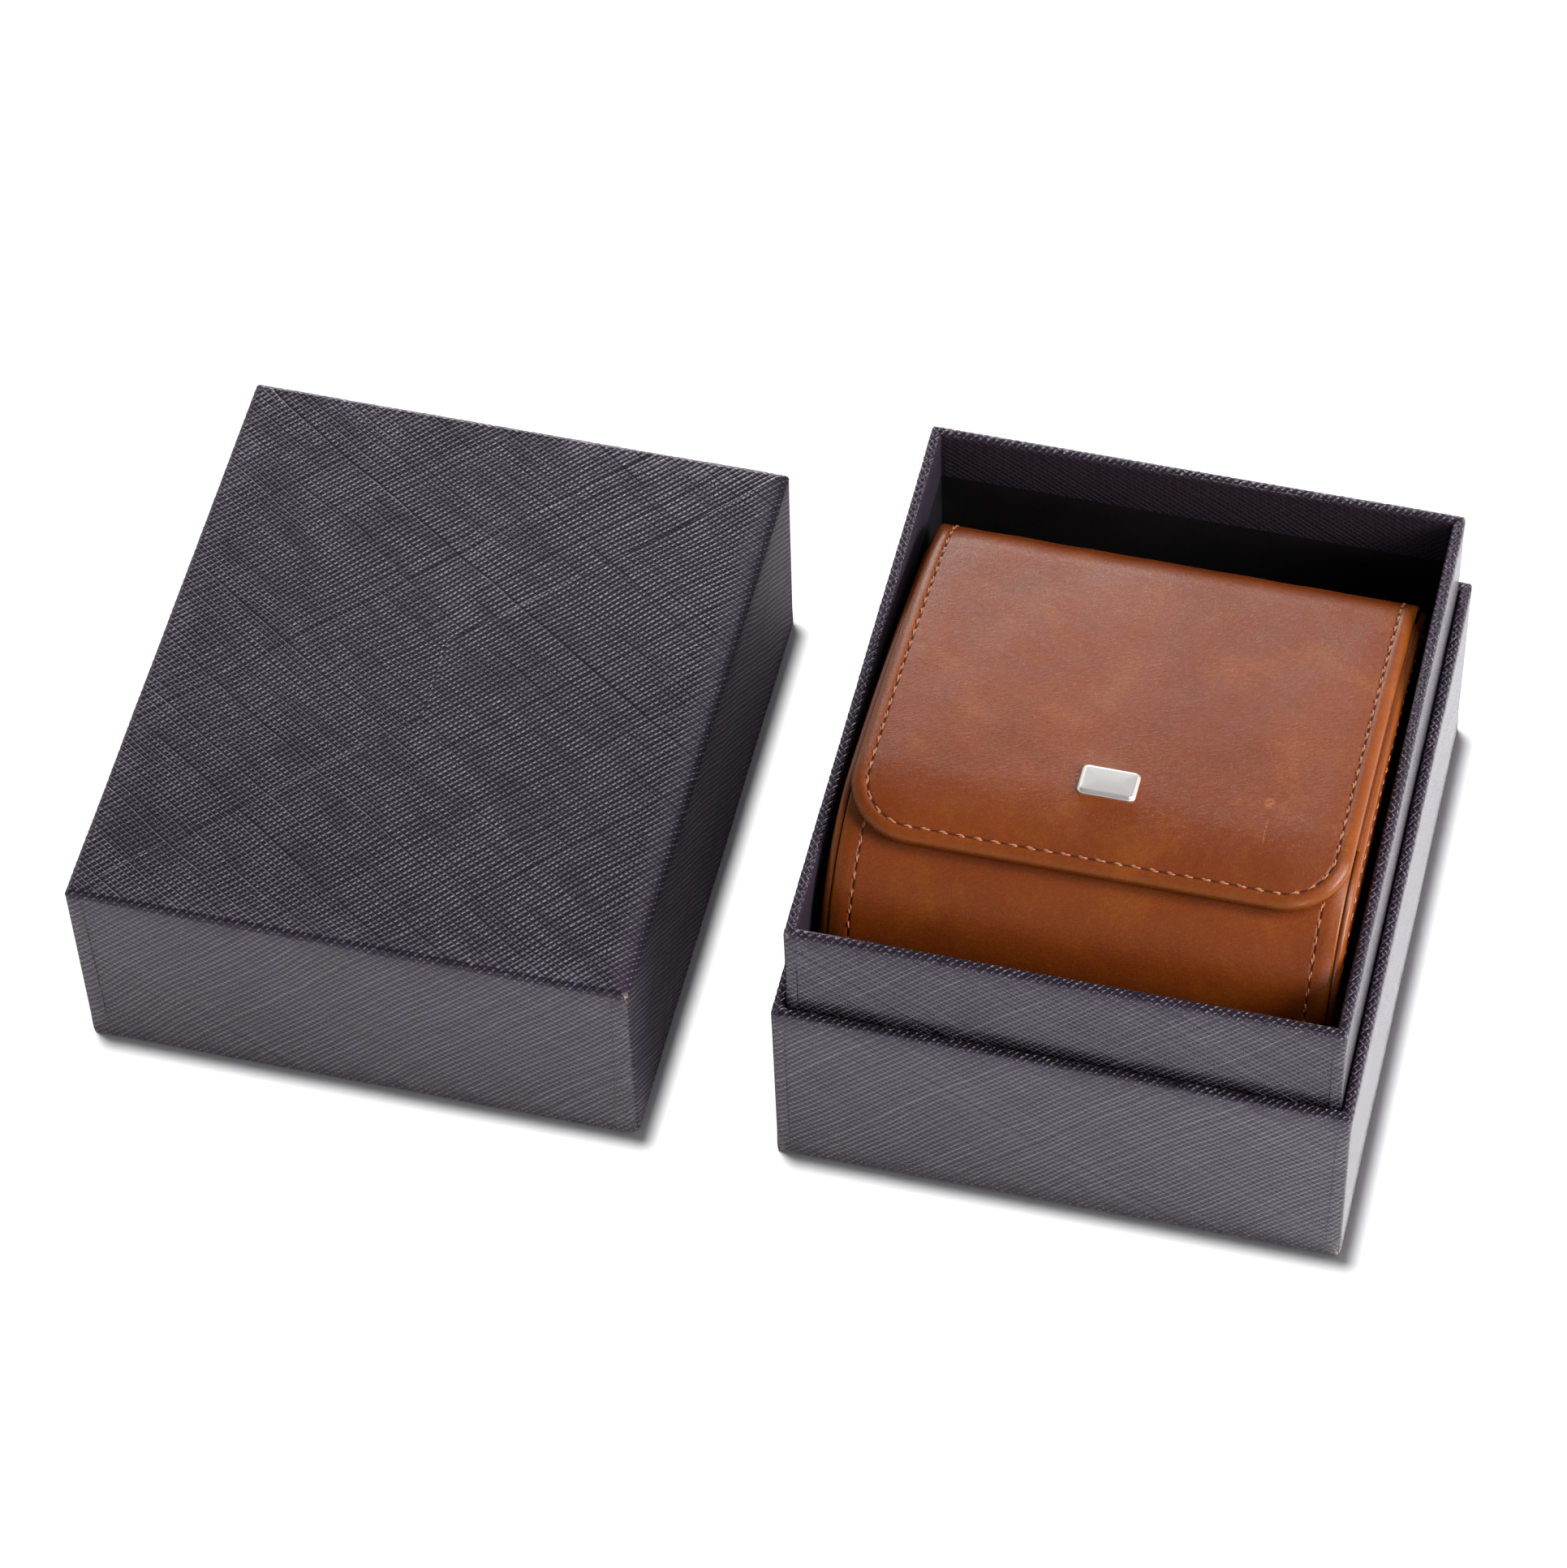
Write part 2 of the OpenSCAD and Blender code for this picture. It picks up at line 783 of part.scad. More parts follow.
// The wrap's stitches show on the front of the body, below the flap.
module wrap_stitches() {
  side_x = shell_half_w - wrap_stitch_in;
  first = flap_end_s + stitch_pitch / 2;
  n = floor((swell_s - first) / stitch_pitch);
  swell_deg = arc_deg(front_swell_r, stitch_pitch);
  m = floor((180 - SWELL_START) / swell_deg);
  straight_n = floor((c4_z - case_z - front_bottom_r) / stitch_pitch);
  color(thread_colour)
    for (side = [-1, 1])
      translate([side * side_x, 0, 0]) {
        for (i = [0 : n - 1])
          on_flap(first + i * stitch_pitch, body_drop)
            rotate([0, 0, 90])
              stitch();
        for (i = [0 : m - 1])
          on_front(SWELL_START + (i + 0.5) * swell_deg)
            stitch();
        for (i = [0 : straight_n - 1])
          translate([0, front_y, c4_z - (i + 0.5) * stitch_pitch])
            rotate([90, 0, 0])
              rotate([0, 0, 90])
                stitch();
      }
}

// Puts what follows on the swell of the front, lying along the profile.
module on_front(a) {
  p = on_arc(c4_y, c4_z, front_swell_r, a);
  translate([0, p[0], p[1]])
    rotate([a - 90, 0, 0])
      rotate([0, 0, 90])
        children();
}

// Each end panel's stitches follow its top, front and back, inside its rim.
module end_stitches() {
  d = end_step + end_stitch_in;
  top_n = floor((swell_s - 0) / stitch_pitch);
  straight_z0 = case_z + back_bottom_r;
  back_n = floor((c1_z - straight_z0) / stitch_pitch);
  front_z0 = case_z + front_bottom_r;
  front_n = floor((c4_z - front_z0) / stitch_pitch);
  color(thread_colour)
    for (side = [-1, 1]) {
      for (i = [0 : top_n])
        let (s = i * stitch_pitch, p = top_pt(s, body_drop + d))
          on_end(side, p, top_deg(s) - 90)
            stitch();
      for (i = [0 : back_n])
        on_end(side, [back_y - d, straight_z0 + i * stitch_pitch], -90)
          stitch();
      for (i = [0 : front_n])
        on_end(side, [front_y + d, front_z0 + i * stitch_pitch], 90)
          stitch();
    }
}

// Puts a stitch on the outer face of an end panel at p, turned by a in that face.
module on_end(side, p, a) {
  translate([side * case_half_w, p[0], p[1]])
    rotate([a, 0, 0])
      rotate([0, side * 90, 0])
        rotate([0, 0, 90])
          children();
}

// ---- Cushion ----
cushion_half_l = cavity_half_w - cushion_gap;
cushion_half_d = (cavity_back - cavity_front) / 2 - cushion_gap;
cushion_half_h = cushion_h / 2;
cushion_y = (cavity_back + cavity_front) / 2;
cushion_z = cavity_z + cushion_rest + cushion_half_h;
CUSHION_POWER = 2.6;
CUSHION_RING = 28;
CUSHION_STEPS = 18;

// How far the cushion's section is drawn in at distance x from its middle.
function pulled(x) =
  let (t = abs(x) / cushion_half_l)
  draw_in * pow(t, 4) + seam_depth * exp(-pow((abs(x) - cushion_half_l + seam_in) / seam_w, 2));
function signed_pow(v, e) = sign(v) * pow(abs(v), e);
function oval(a, b, c) = [
  b * signed_pow(cos(a), 2 / CUSHION_POWER),
  c * signed_pow(sin(a), 2 / CUSHION_POWER)
];
// The section at x, its size taken from that at distance at from the middle.
function ring(x, at, d) = [
  for (i = [0 : CUSHION_RING - 1])
    let (p = pulled(at) + d, q = oval(FULL_TURN * i / CUSHION_RING, cushion_half_d - p, cushion_half_h - p))
    [x, q[0], q[1]]
];

// A closed form through the cushion's sections, d inside its outside, run on by over at both ends.
module cushion_form(d, over) {
  hl = cushion_half_l - cap_t;
  mid = [for (t = [0 : CUSHION_STEPS]) -hl * cos(FULL_TURN / 2 * t / CUSHION_STEPS)];
  xs = over > 0 ? concat([-hl - over], mid, [hl + over]) : mid;
  n = CUSHION_RING;
  m = len(xs);
  pts = [for (x = xs) each ring(x, min(abs(x), hl), d)];
  walls = [
    for (j = [0 : m - 2], i = [0 : n - 1])
      let (k = (i + 1) % n)
      each [
        [j * n + i, (j + 1) * n + i, (j + 1) * n + k],
        [j * n + i, (j + 1) * n + k, j * n + k]
      ]
  ];
  first = [[for (i = [0 : n - 1]) i]];
  last = [[for (i = [n - 1 : -1 : 0]) (m - 1) * n + i]];
  translate([0, cushion_y, cushion_z])
    polyhedron(pts, concat(walls, first, last));
}

module cushion_core() {
  color(foam_colour)
    cushion_form(cover_t, 0);
}

module cushion_cover() {
  color(suede_colour)
    difference() {
      cushion_form(0, 0);
      cushion_form(cover_t, CUT);
    }
}

module cushion_end_caps() {
  p = pulled(cushion_half_l) + cover_t / 2;
  color(suede_colour)
    for (side = [0, 1])
      translate([0, cushion_y, cushion_z])
        mirror([side, 0, 0])
          along_x(cushion_half_l - cap_t, cushion_half_l)
            polygon([
              for (i = [0 : CUSHION_RING - 1])
                oval(FULL_TURN * i / CUSHION_RING, cushion_half_d - p, cushion_half_h - p)
            ]);
}

base_board();
base_wrap();
base_turn_ins();
base_bottom_paper();
base_corner_stays();
neck_board();
neck_wrap();
neck_turn_ins();
neck_lining();
floor_foam();
floor_paper();
lid_board();
lid_wrap();
lid_turn_ins();
lid_lining();
case_wrap();
case_board();
case_lining();
end_board_left();
end_board_right();
end_leather_left();
end_leather_right();
end_lining_left();
end_lining_right();
cradle_foam();
cradle_suede();
case_magnet();
wrap_stitches();
end_stitches();
flap_leather();
flap_board();
flap_lining();
flap_magnet();
flap_stitches();
badge_plate();
badge_washer();
cushion_core();
cushion_cover();
cushion_end_caps();
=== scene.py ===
import json
import math

import bmesh
import bpy
import numpy as np
from mathutils import Matrix, Vector

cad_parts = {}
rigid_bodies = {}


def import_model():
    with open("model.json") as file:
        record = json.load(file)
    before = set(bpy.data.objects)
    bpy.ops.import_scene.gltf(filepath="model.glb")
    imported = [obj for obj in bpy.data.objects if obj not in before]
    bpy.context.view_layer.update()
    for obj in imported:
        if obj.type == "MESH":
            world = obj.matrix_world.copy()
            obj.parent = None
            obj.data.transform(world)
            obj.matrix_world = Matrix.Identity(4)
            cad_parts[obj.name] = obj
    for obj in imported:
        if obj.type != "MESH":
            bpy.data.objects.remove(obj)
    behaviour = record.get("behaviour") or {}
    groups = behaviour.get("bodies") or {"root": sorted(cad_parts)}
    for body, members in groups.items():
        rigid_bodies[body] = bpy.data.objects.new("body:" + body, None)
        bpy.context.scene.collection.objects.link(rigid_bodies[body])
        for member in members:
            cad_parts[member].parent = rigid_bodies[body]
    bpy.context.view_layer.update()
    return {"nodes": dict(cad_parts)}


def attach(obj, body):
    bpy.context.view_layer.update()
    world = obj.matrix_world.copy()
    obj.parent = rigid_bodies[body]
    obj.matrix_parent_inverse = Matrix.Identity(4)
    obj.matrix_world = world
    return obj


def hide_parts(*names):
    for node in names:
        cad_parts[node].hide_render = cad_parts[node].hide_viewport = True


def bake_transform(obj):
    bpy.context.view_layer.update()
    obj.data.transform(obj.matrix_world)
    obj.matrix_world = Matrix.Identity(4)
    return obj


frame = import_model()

MM = 0.001
SEED = 7
rng = np.random.default_rng(SEED)

# ---- sizes, in millimetres
BOX_W, BOX_D = 115.0, 135.0
TRAY_H, LID_H, NECK_TOP = 49.0, 49.0, 73.0
LID_X, LID_Y = -143.0, -2.5
WALL, PAPER, NECK_IN, NECK_INNER = 2.3, 0.3, 2.5, 4.8
TURN_IN = 13.0
TRAY_FLOOR = 2.3

# Side profile of the travel case: centres and radii of its arcs in Y and Z.
C1, R1 = (32.0, 51.0063), 20.0
C2, R2 = (-58.4437, -254.327), 338.447
C3, R3 = (-28.8804, 52.7), 30.0
C4, R4 = (22.7, 38.8791), 80.0
# Degrees at which the arcs meet, then lengths along the flap's outer face, counted from the back of its top:
# of the top, to the flap's end, to its hinge behind, and to the shell's lip.
TOP_START, TOP_END, FLAP_END, SWELL = 73.5, 84.5, 118.0, 165.0
TOP_L = R2 * math.radians(TOP_END - TOP_START)
FLAP_END_S = TOP_L + R3 * math.radians(FLAP_END - TOP_END)
BACK_S = -R1 * math.radians(TOP_START)
LIP_S = 64.6
BACK_Y, FRONT_Y, CASE_Z = 52.0, -57.3, 5.4
FRONT_BOTTOM_R, BACK_BOTTOM_R = 17.0, 14.0
# How far the shell lies below the flap's face, and the end panels inside the shell; the hide's half width.
DROP, END_STEP = 3.4, 0.5
SHELL_HALF = 49.2
BADGE_S = FLAP_END_S - 20.0
FLAP_CORNER = 13.0
# The leather's thickness, the round of its lip, the seams' places in from its edges, and their depth.
HIDE, LIP_R = 1.2, 1.75
FLAP_SEAM, WRAP_SEAM, END_SEAM = 3.2, 4.2, 3.0
SEAM_DEPTH, STITCH_PITCH = 0.30, 3.44
# Lengths past the front at which the wrap's seam ends and the one that runs on to the flap begins.
FRONT_SEAM_END, BACK_SEAM_START = 62, 84
# Small marks on the flap: place across and along the hide, width and length.
SCUFFS = (((31.0, BADGE_S - 2.7), 1.3, 2.0), ((31.6, BADGE_S + 4.5), 0.35, 4.5))

# ---- small tools


def smooth(a, b, v):
    t = np.clip((np.asarray(v, float) - a) / (b - a), 0, 1)
    return t * t * (3 - 2 * t)


def bell(v, middle, width):
    return np.exp(-(((np.asarray(v, float) - middle) / width) ** 2))


def waves(u, v, scale, seed):
    """Soft noise between about -1 and 1, the same on every run."""
    r = np.random.default_rng(seed)
    total = 0
    for _ in range(7):
        a = r.uniform(0, 2 * math.pi)
        k = 2 * math.pi / (scale * r.uniform(0.7, 1.8))
        total = total + np.sin(k * (u * math.cos(a) + v * math.sin(a)) + r.uniform(0, 6.28))
    return total / 3.5


# Distances in metres within which two points are one, and below which an edge has no length.
SAME_POINT, NO_LENGTH = 2e-6, 1e-7


def linked(name, data):
    """A new object with that data, in the scene."""
    obj = bpy.data.objects.new(name, data)
    bpy.context.scene.collection.objects.link(obj)
    return obj


def build(name, points, faces, material, slot, uv=None, loops=None, weld=True, sharp=None, **attrs):
    """A mesh object from points in millimetres.

    uv are the paper or hide coordinates of each point, and loops those of each corner of the faces.
    """
    me = bpy.data.meshes.new(name)
    me.from_pydata(np.asarray(points, float) * MM, [], [list(f) for f in faces])
    if uv is not None:
        loops = uv[[i for f in faces for i in f]]
    if loops is not None:
        layer = me.uv_layers.new(name="sheet")
        layer.data.foreach_set("uv", np.asarray(loops, np.float32).ravel())
    for key, values in attrs.items():
        a = me.attributes.new(key, "FLOAT", "POINT")
        a.data.foreach_set("value", np.asarray(values, np.float32).ravel())
    if weld:
        bm = bmesh.new()
        bm.from_mesh(me)
        bmesh.ops.remove_doubles(bm, verts=bm.verts, dist=SAME_POINT)
        bmesh.ops.dissolve_degenerate(bm, dist=NO_LENGTH, edges=bm.edges)
        bmesh.ops.recalc_face_normals(bm, faces=bm.faces)
        bm.to_mesh(me)
        bm.free()
    me.shade_smooth()
    if sharp:
        me.set_sharp_from_angle(angle=math.radians(sharp))
    me.validate()
    me.materials.append(material)
    obj = linked(name, me)
    return obj


def grid_faces(rows, cols, start=0, closed_cols=False, flip=False):
    """Four-cornered faces between the points of a grid."""
    k, j = np.meshgrid(np.arange(rows - 1), np.arange(cols if closed_cols else cols - 1), indexing="ij")
    j2 = (j + 1) % cols
    a, b = start + k * cols + j, start + k * cols + j2
    c, d = start + (k + 1) * cols + j2, start + (k + 1) * cols + j
    quads = np.stack([a, d, c, b] if flip else [a, b, c, d], -1).reshape(-1, 4)
    return [tuple(f) for f in quads]


def stacked(layers):
    """Points and faces of a closed solid through rings of points, with a flat face at each end."""
    n, m = len(layers), len(layers[0])
    ends = [tuple(range(m)), tuple(range((n - 1) * m, n * m))[::-1]]
    return np.concatenate(layers), grid_faces(n, m, closed_cols=True) + ends


def strip(first, count, n):
    """Faces that close the slit between a row of points and the row that comes n points later."""
    return [(a, a + 1, n + a + 1, n + a) for a in range(first, first + count - 1)]


def rolled(e, r):
    """Share of its radius r that a rounded edge lies below the face, at e from the edge."""
    k = np.clip(1 - e / r, 0, 1)
    return 1 - np.sqrt(np.maximum(1 - k * k, 0))


def loop_stations(w, d, step, arc_steps=6):
    """Stations round a rounded rectangle: (ax, ay, ux, uy, side), from the left end of the front."""
    rows = []
    for side, (ux, uy) in enumerate(((0, -1), (1, 0), (0, 1), (-1, 0))):
        for t in np.linspace(-1, 1, int((w, d)[side % 2] / step) + 1):
            rows.append((ux - uy * t, uy + ux * t, ux, uy, side))
        for k in range(1, arc_steps):
            a = math.radians(90 * (side - 1 + k / arc_steps))
            near = side if k <= arc_steps / 2 else (side + 1) % 4
            rows.append((ux - uy, uy + ux, math.cos(a), math.sin(a), near))
    return np.array(rows)


def round_ring(stations, w, d, inset, r):
    """X and Y round a rounded rectangle that lies inset from one of w by d."""
    ax, ay, ux, uy = stations.T[:4]
    return ax * (w / 2 - inset - r) + ux * r, ay * (d / 2 - inset - r) + uy * r


# ---- node materials


class Nodes:
    """A short way to write a node tree."""

    def __init__(self, owner):
        owner.use_nodes = True
        self.t = owner.node_tree
        self.t.nodes.clear()

    def put(self, socket, value):
        if isinstance(value, bpy.types.NodeSocket):
            self.t.links.new(value, socket)
        elif value is not None:
            old = socket.default_value
            if hasattr(old, "__len__") and len(old) == 4 and len(value) == 3:
                value = (*value, 1)
            socket.default_value = value

    def node(self, kind, inputs=None, **props):
        n = self.t.nodes.new(kind)
        for k, v in props.items():
            setattr(n, k, v)
        for k, v in (inputs or {}).items():
            self.put(n.inputs[k], v)
        return n

    def math(self, op, a, b=None):
        return self.node("ShaderNodeMath", {0: a, 1: b}, operation=op).outputs[0]

    def add(self, a, b):
        return self.math("ADD", a, b)

    def mul(self, a, b):
        return self.math("MULTIPLY", a, b)

    def line(self, v, factor, offset):
        return self.add(self.mul(v, factor), offset)

    def fit(self, v, a, b, lo=0.0, hi=1.0):
        """From lo at a to hi at b, in a smooth step."""
        return self.node("ShaderNodeMapRange", {0: v, 1: a, 2: b, 3: lo, 4: hi},
                         interpolation_type="SMOOTHSTEP").outputs[0]


class Mat(Nodes):
    """A short way to write a material with one shader."""

    def __init__(self, name):
        self.m = bpy.data.materials.new(name)
        super().__init__(self.m)
        self.b = self.node("ShaderNodeBsdfPrincipled")
        self.node("ShaderNodeOutputMaterial", {"Surface": self.b.outputs[0]})

    def set(self, **inputs):
        for k, v in inputs.items():
            self.put(self.b.inputs[k.replace("_", " ")], v)

    def dot(self, v, w):
        return self.node("ShaderNodeVectorMath", {0: v, 1: w}, operation="DOT_PRODUCT").outputs["Value"]

    def mix(self, f, a, b):
        return self.node("ShaderNodeMix", {0: f, 6: a, 7: b}, data_type="RGBA").outputs[2]

    def noise(self, v, scale, detail=2.0, rough=0.5, dims="3D", distort=0.0, output=0):
        names = {"Scale": scale, "Detail": detail, "Roughness": rough, "Distortion": distort}
        names["W" if dims == "1D" else "Vector"] = v
        return self.node("ShaderNodeTexNoise", names, noise_dimensions=dims).outputs[output]

    def net(self, v, scale):
        """Distance to the nearest line of a net of uneven cells."""
        return self.node("ShaderNodeTexVoronoi", {"Vector": v, "Scale": scale, "Randomness": 1.0},
                         voronoi_dimensions="2D", feature="DISTANCE_TO_EDGE").outputs["Distance"]

    def scaled(self, v, scale):
        return self.node("ShaderNodeMapping", {"Vector": v, "Scale": scale}).outputs[0]

    def turned(self, v, degrees, along, over):
        """Sheet coordinates scaled by one factor along a direction and another across it."""
        c, n = math.cos(math.radians(degrees)), math.sin(math.radians(degrees))
        parts = {0: self.dot(v, (c * along, n * along, 0)), 1: self.dot(v, (-n * over, c * over, 0))}
        return self.node("ShaderNodeCombineXYZ", parts).outputs[0]

    def attr(self, name):
        return self.node("ShaderNodeAttribute", attribute_name=name).outputs["Fac"]

    def sheet(self):
        return self.node("ShaderNodeUVMap", uv_map="sheet").outputs[0]

    def place(self):
        """The object's own coordinates, in millimetres."""
        v = self.node("ShaderNodeTexCoord").outputs["Object"]
        return self.node("ShaderNodeVectorMath", {0: v, "Scale": 1000.0}, operation="SCALE").outputs[0]

    def bump(self, height, distance, strength=1.0):
        names = {"Height": height, "Distance": distance, "Strength": strength}
        return self.node("ShaderNodeBump", names).outputs[0]


def line_family(m, uv, degrees, period, jitter, bend):
    """Phase of one family of embossed lines, unevenly spaced and slightly bent."""
    a = math.radians(degrees)
    phase = m.dot(uv, (math.cos(a) / period, math.sin(a) / period, 0))
    phase = m.add(phase, m.mul(m.add(m.noise(phase, 0.62, 1.0, 0.6, "1D"), -0.5), jitter))
    return m.add(phase, m.mul(m.add(bend, -0.5), 1.3))


# The two families of embossed lines: direction in degrees, and period.
RIDGE = (56.0, 1.10)
CROSS = (136.5, 1.13)


def embossed_paper(name):
    """Coated paper with small pads: grooves one way, thin raised beads the other way."""
    m = Mat(name)
    uv = m.sheet()
    names = ("rim", "seam", "worn", "inside", "top", "matt")
    rim, seam, worn_edge, inside, panel, matt = (m.attr(k) for k in names)
    top = m.math("MAXIMUM", panel, rim)
    bend = m.noise(uv, 0.035, 2.0, 0.5, "2D")
    ca = m.math("COSINE", m.mul(line_family(m, uv, *RIDGE, 0.62, bend), 2 * math.pi))
    cb = m.math("COSINE", m.mul(line_family(m, uv, *CROSS, 0.50, bend), 2 * math.pi))
    groove, bead = m.fit(ca, -0.20, -0.90), m.fit(cb, 0.30, 0.97)
    smear = m.noise(m.turned(uv, RIDGE[0] - 90, 0.045, 0.19), 1.0, 3.0, 0.6, "2D")
    patch = m.fit(smear, 0.34, 0.58)
    speck = m.fit(m.noise(uv, 0.6, 2.0, 0.6, "2D"), 0.25, 0.65)
    lift = m.mul(m.mul(bead, m.line(patch, 0.5, 0.5)), m.fit(groove, 0.1, 0.8, 1.0, 0.45))
    grain = m.noise(uv, 5.0, 2.0, 0.6, "2D")
    cut = m.mul(groove, m.fit(bead, 0.0, 0.6, 1.0, 0.25))
    height = m.add(m.mul(cut, -0.6), m.add(m.mul(lift, 0.5), m.mul(grain, 0.05)))
    # colour: pads, grooves, the lines of beads, their crests, then what lies over them; much of it is painted
    # light, as each step says
    # Painted shade and painted reflection: pads and lines are darker on the top and the rims, and the lines
    # on the walls lighter, standing in for the floor's reflection there.
    pads = m.mix(top, (0.0105, 0.0085, 0.0115), (0.0040, 0.0034, 0.0044))
    line = m.mix(top, (0.092, 0.072, 0.100), (0.013, 0.0110, 0.0145))
    # Painted shade: the grooves are painted near black.
    tone = m.mix(cut, pads, (0.0022, 0.0019, 0.0024))
    tone = m.mix(m.mul(m.fit(cb, 0.50, 0.96), m.line(patch, 0.4, 0.5)), tone, line)
    crest = m.mul(m.fit(cb, 0.70, 0.97), m.mul(m.fit(ca, -0.25, 0.30), m.line(patch, 0.6, 0.4)))
    # Painted highlight: glints on the beads' crests, brighter on the top and the rims.
    painted_glints = m.mul(crest, m.mul(m.line(speck, 0.75, 0.25), m.fit(rim, 0.0, 1.0, 1.0, 0.85)))
    tone = m.mix(m.mul(painted_glints, m.fit(top, 0.0, 1.0, 0.55, 0.95)), tone, (0.30, 0.28, 0.315))
    # Painted shade: the turn-ins inside the walls are painted near black.
    tone = m.mix(m.mul(inside, 0.85), tone, (0.0020, 0.0018, 0.0021))
    # Painted shade: a thin dark line along each lap's edge.
    tone = m.mix(seam, tone, (0.0015, 0.0013, 0.0015))
    scuff = m.mul(worn_edge, m.fit(m.noise(uv, 1.1, 3.0, 0.7, "2D"), 0.42, 0.60))
    tone = m.mix(scuff, tone, (0.42, 0.33, 0.27))
    # gloss: a coat on the pads and lines, less on folds and rubbed walls, none in grooves and inside
    dull = m.mul(m.math("MAXIMUM", inside, m.mul(matt, 0.8)), 0.45)
    rough = m.add(m.line(crest, -0.06, dull), m.line(grain, 0.08, m.fit(rim, 0.0, 1.0, 0.23, 0.34)))
    low = m.math("MAXIMUM", cut, m.fit(cb, -0.2, -0.95, 0.0, 0.8))
    coat = m.mul(m.fit(low, 0.0, 0.9, 0.95, 0.0), m.fit(inside, 0.0, 1.0, 1.0, 0.0))
    for where, left in ((matt, 0.25), (panel, 0.65), (rim, 0.30)):
        coat = m.mul(coat, m.fit(where, 0.0, 1.0, 1.0, left))
    relief = m.bump(height, 0.00022)
    m.set(Base_Color=tone, Roughness=rough, Specular_IOR_Level=0.62, IOR=1.5, Specular_Tint=(0.92, 0.66, 1.0),
          Coat_Weight=coat, Coat_Roughness=0.2, Normal=relief, Coat_Normal=relief)
    return m.m


def smooth_paper(name, base, light):
    m = Mat(name)
    p = m.place()
    cloud = m.noise(p, 0.05, 4.0, 0.6)
    fibre = m.noise(m.scaled(p, (1.0, 1.0, 2.2)), 1.6, 4.0, 0.65)
    tone = m.mix(m.fit(cloud, 0.35, 0.7), base, light)
    tone = m.mix(m.mul(m.fit(fibre, 0.5, 0.8), 0.35), tone, light)
    m.set(Base_Color=tone, Roughness=m.line(fibre, 0.2, 0.42), Specular_IOR_Level=0.4,
          Normal=m.bump(fibre, 0.00003, 0.8))
    return m.m


def fibre_board(name, base, dark, scale=1.0):
    m = Mat(name)
    p = m.place()
    layers = m.noise(m.scaled(p, (0.5, 0.5, 3.0)), 1.4 * scale, 4.0, 0.7)
    specks = m.fit(m.noise(p, 3.2 * scale, 3.0, 0.7), 0.55, 0.75)
    tone = m.mix(m.mul(specks, 0.4), m.mix(layers, base, dark), dark)
    m.set(Base_Color=tone, Roughness=m.line(layers, 0.1, 0.82), Specular_IOR_Level=0.25,
          Normal=m.bump(m.add(layers, m.mul(specks, 0.4)), 0.00006, 0.9))
    return m.m


def leather(name):
    """Pull-up leather: clouds of dark and amber, fine creases one way, a few scuffs, burnished edges
    lightened further as a painted highlight, and painted shade in grooves and on shaded faces.
    """
    m = Mat(name)
    uv = m.sheet()
    edge, groove, painted_shade = m.attr("edge"), m.attr("groove"), m.attr("dark")
    main, dark, amber = (0.208, 0.0400, 0.0040), (0.138, 0.0225, 0.0026), (0.290, 0.078, 0.0060)
    cloud = m.noise(uv, 0.022, 2.0, 0.5, "2D", 0.3)
    blot = m.noise(uv, 0.075, 4.0, 0.6, "2D", 0.3)
    fine = m.noise(uv, 0.9, 3.0, 0.6, "2D")
    tone = m.mix(m.fit(cloud, 0.30, 0.62), m.mix(0.45, main, dark), main)
    tone = m.mix(m.mul(m.fit(blot, 0.50, 0.78), 0.42), tone, amber)
    tone = m.mix(m.mul(m.fit(blot, 0.48, 0.26), 0.38), tone, dark)
    # Edges: burnished amber, made lighter than the burnish alone as a painted highlight.
    tone = m.mix(m.mul(edge, 0.42), tone, amber)
    for (x, at), w, h in SCUFFS:
        ends = {0: m.scaled(uv, (1 / w, 1 / h, 0)), 1: (x / w, at / h, 0)}
        off = m.node("ShaderNodeVectorMath", ends, operation="DISTANCE").outputs["Value"]
        mark = m.mul(m.fit(off, 1.0, 0.45), m.fit(m.noise(uv, 1.3, 2.0, 0.6, "2D"), 0.36, 0.60))
        tone = m.mix(m.mul(mark, 0.5), tone, (0.46, 0.15, 0.035))
    wander = m.noise(uv, 0.55, dims="2D", output=1)
    bent = {0: m.turned(uv, -24, 0.62, 1.25), 1: wander}
    lines = m.node("ShaderNodeVectorMath", bent, operation="ADD").outputs[0]
    crease = m.noise(m.turned(uv, -24, 0.8, 1.9), 0.9, 4.0, 0.62, "2D")
    wide, narrow = m.fit(m.net(lines, 2.4), 0.0, 0.25), m.fit(m.net(lines, 4.6), 0.0, 0.2)
    cells = m.add(m.mul(wide, 0.4), m.mul(narrow, 0.15))
    grain = m.add(cells, m.mul(m.fit(crease, 0.3, 0.7), 0.5))
    tone = m.mix(m.mul(m.fit(grain, 0.62, 0.25), 0.34), tone, dark)
    tone = m.mix(m.mul(m.fit(grain, 0.80, 1.15), 0.22), tone, (0.46, 0.16, 0.030))
    # Painted shade: the ends' faces, deeper in from their rims, and the bindings are painted darker.
    tone = m.mix(m.mul(painted_shade, 0.8), tone, (0.085, 0.016, 0.003))
    # Painted shade in the seams' grooves, and in the gap between an end panel and the wrap.
    tone = m.mix(m.mul(groove, 0.85), tone, (0.030, 0.008, 0.003))
    rough = m.add(m.add(m.mul(fine, 0.10), m.mul(m.fit(grain, 0.75, 0.25), 0.10)), m.line(edge, -0.12, 0.29))
    m.set(Base_Color=tone, Roughness=rough, Specular_IOR_Level=0.26, Coat_Weight=0.05, Coat_Roughness=0.25,
          Normal=m.bump(m.mul(grain, m.fit(edge, 0.0, 1.0, 1.0, 0.35)), 0.000048, 0.9))
    return m.m


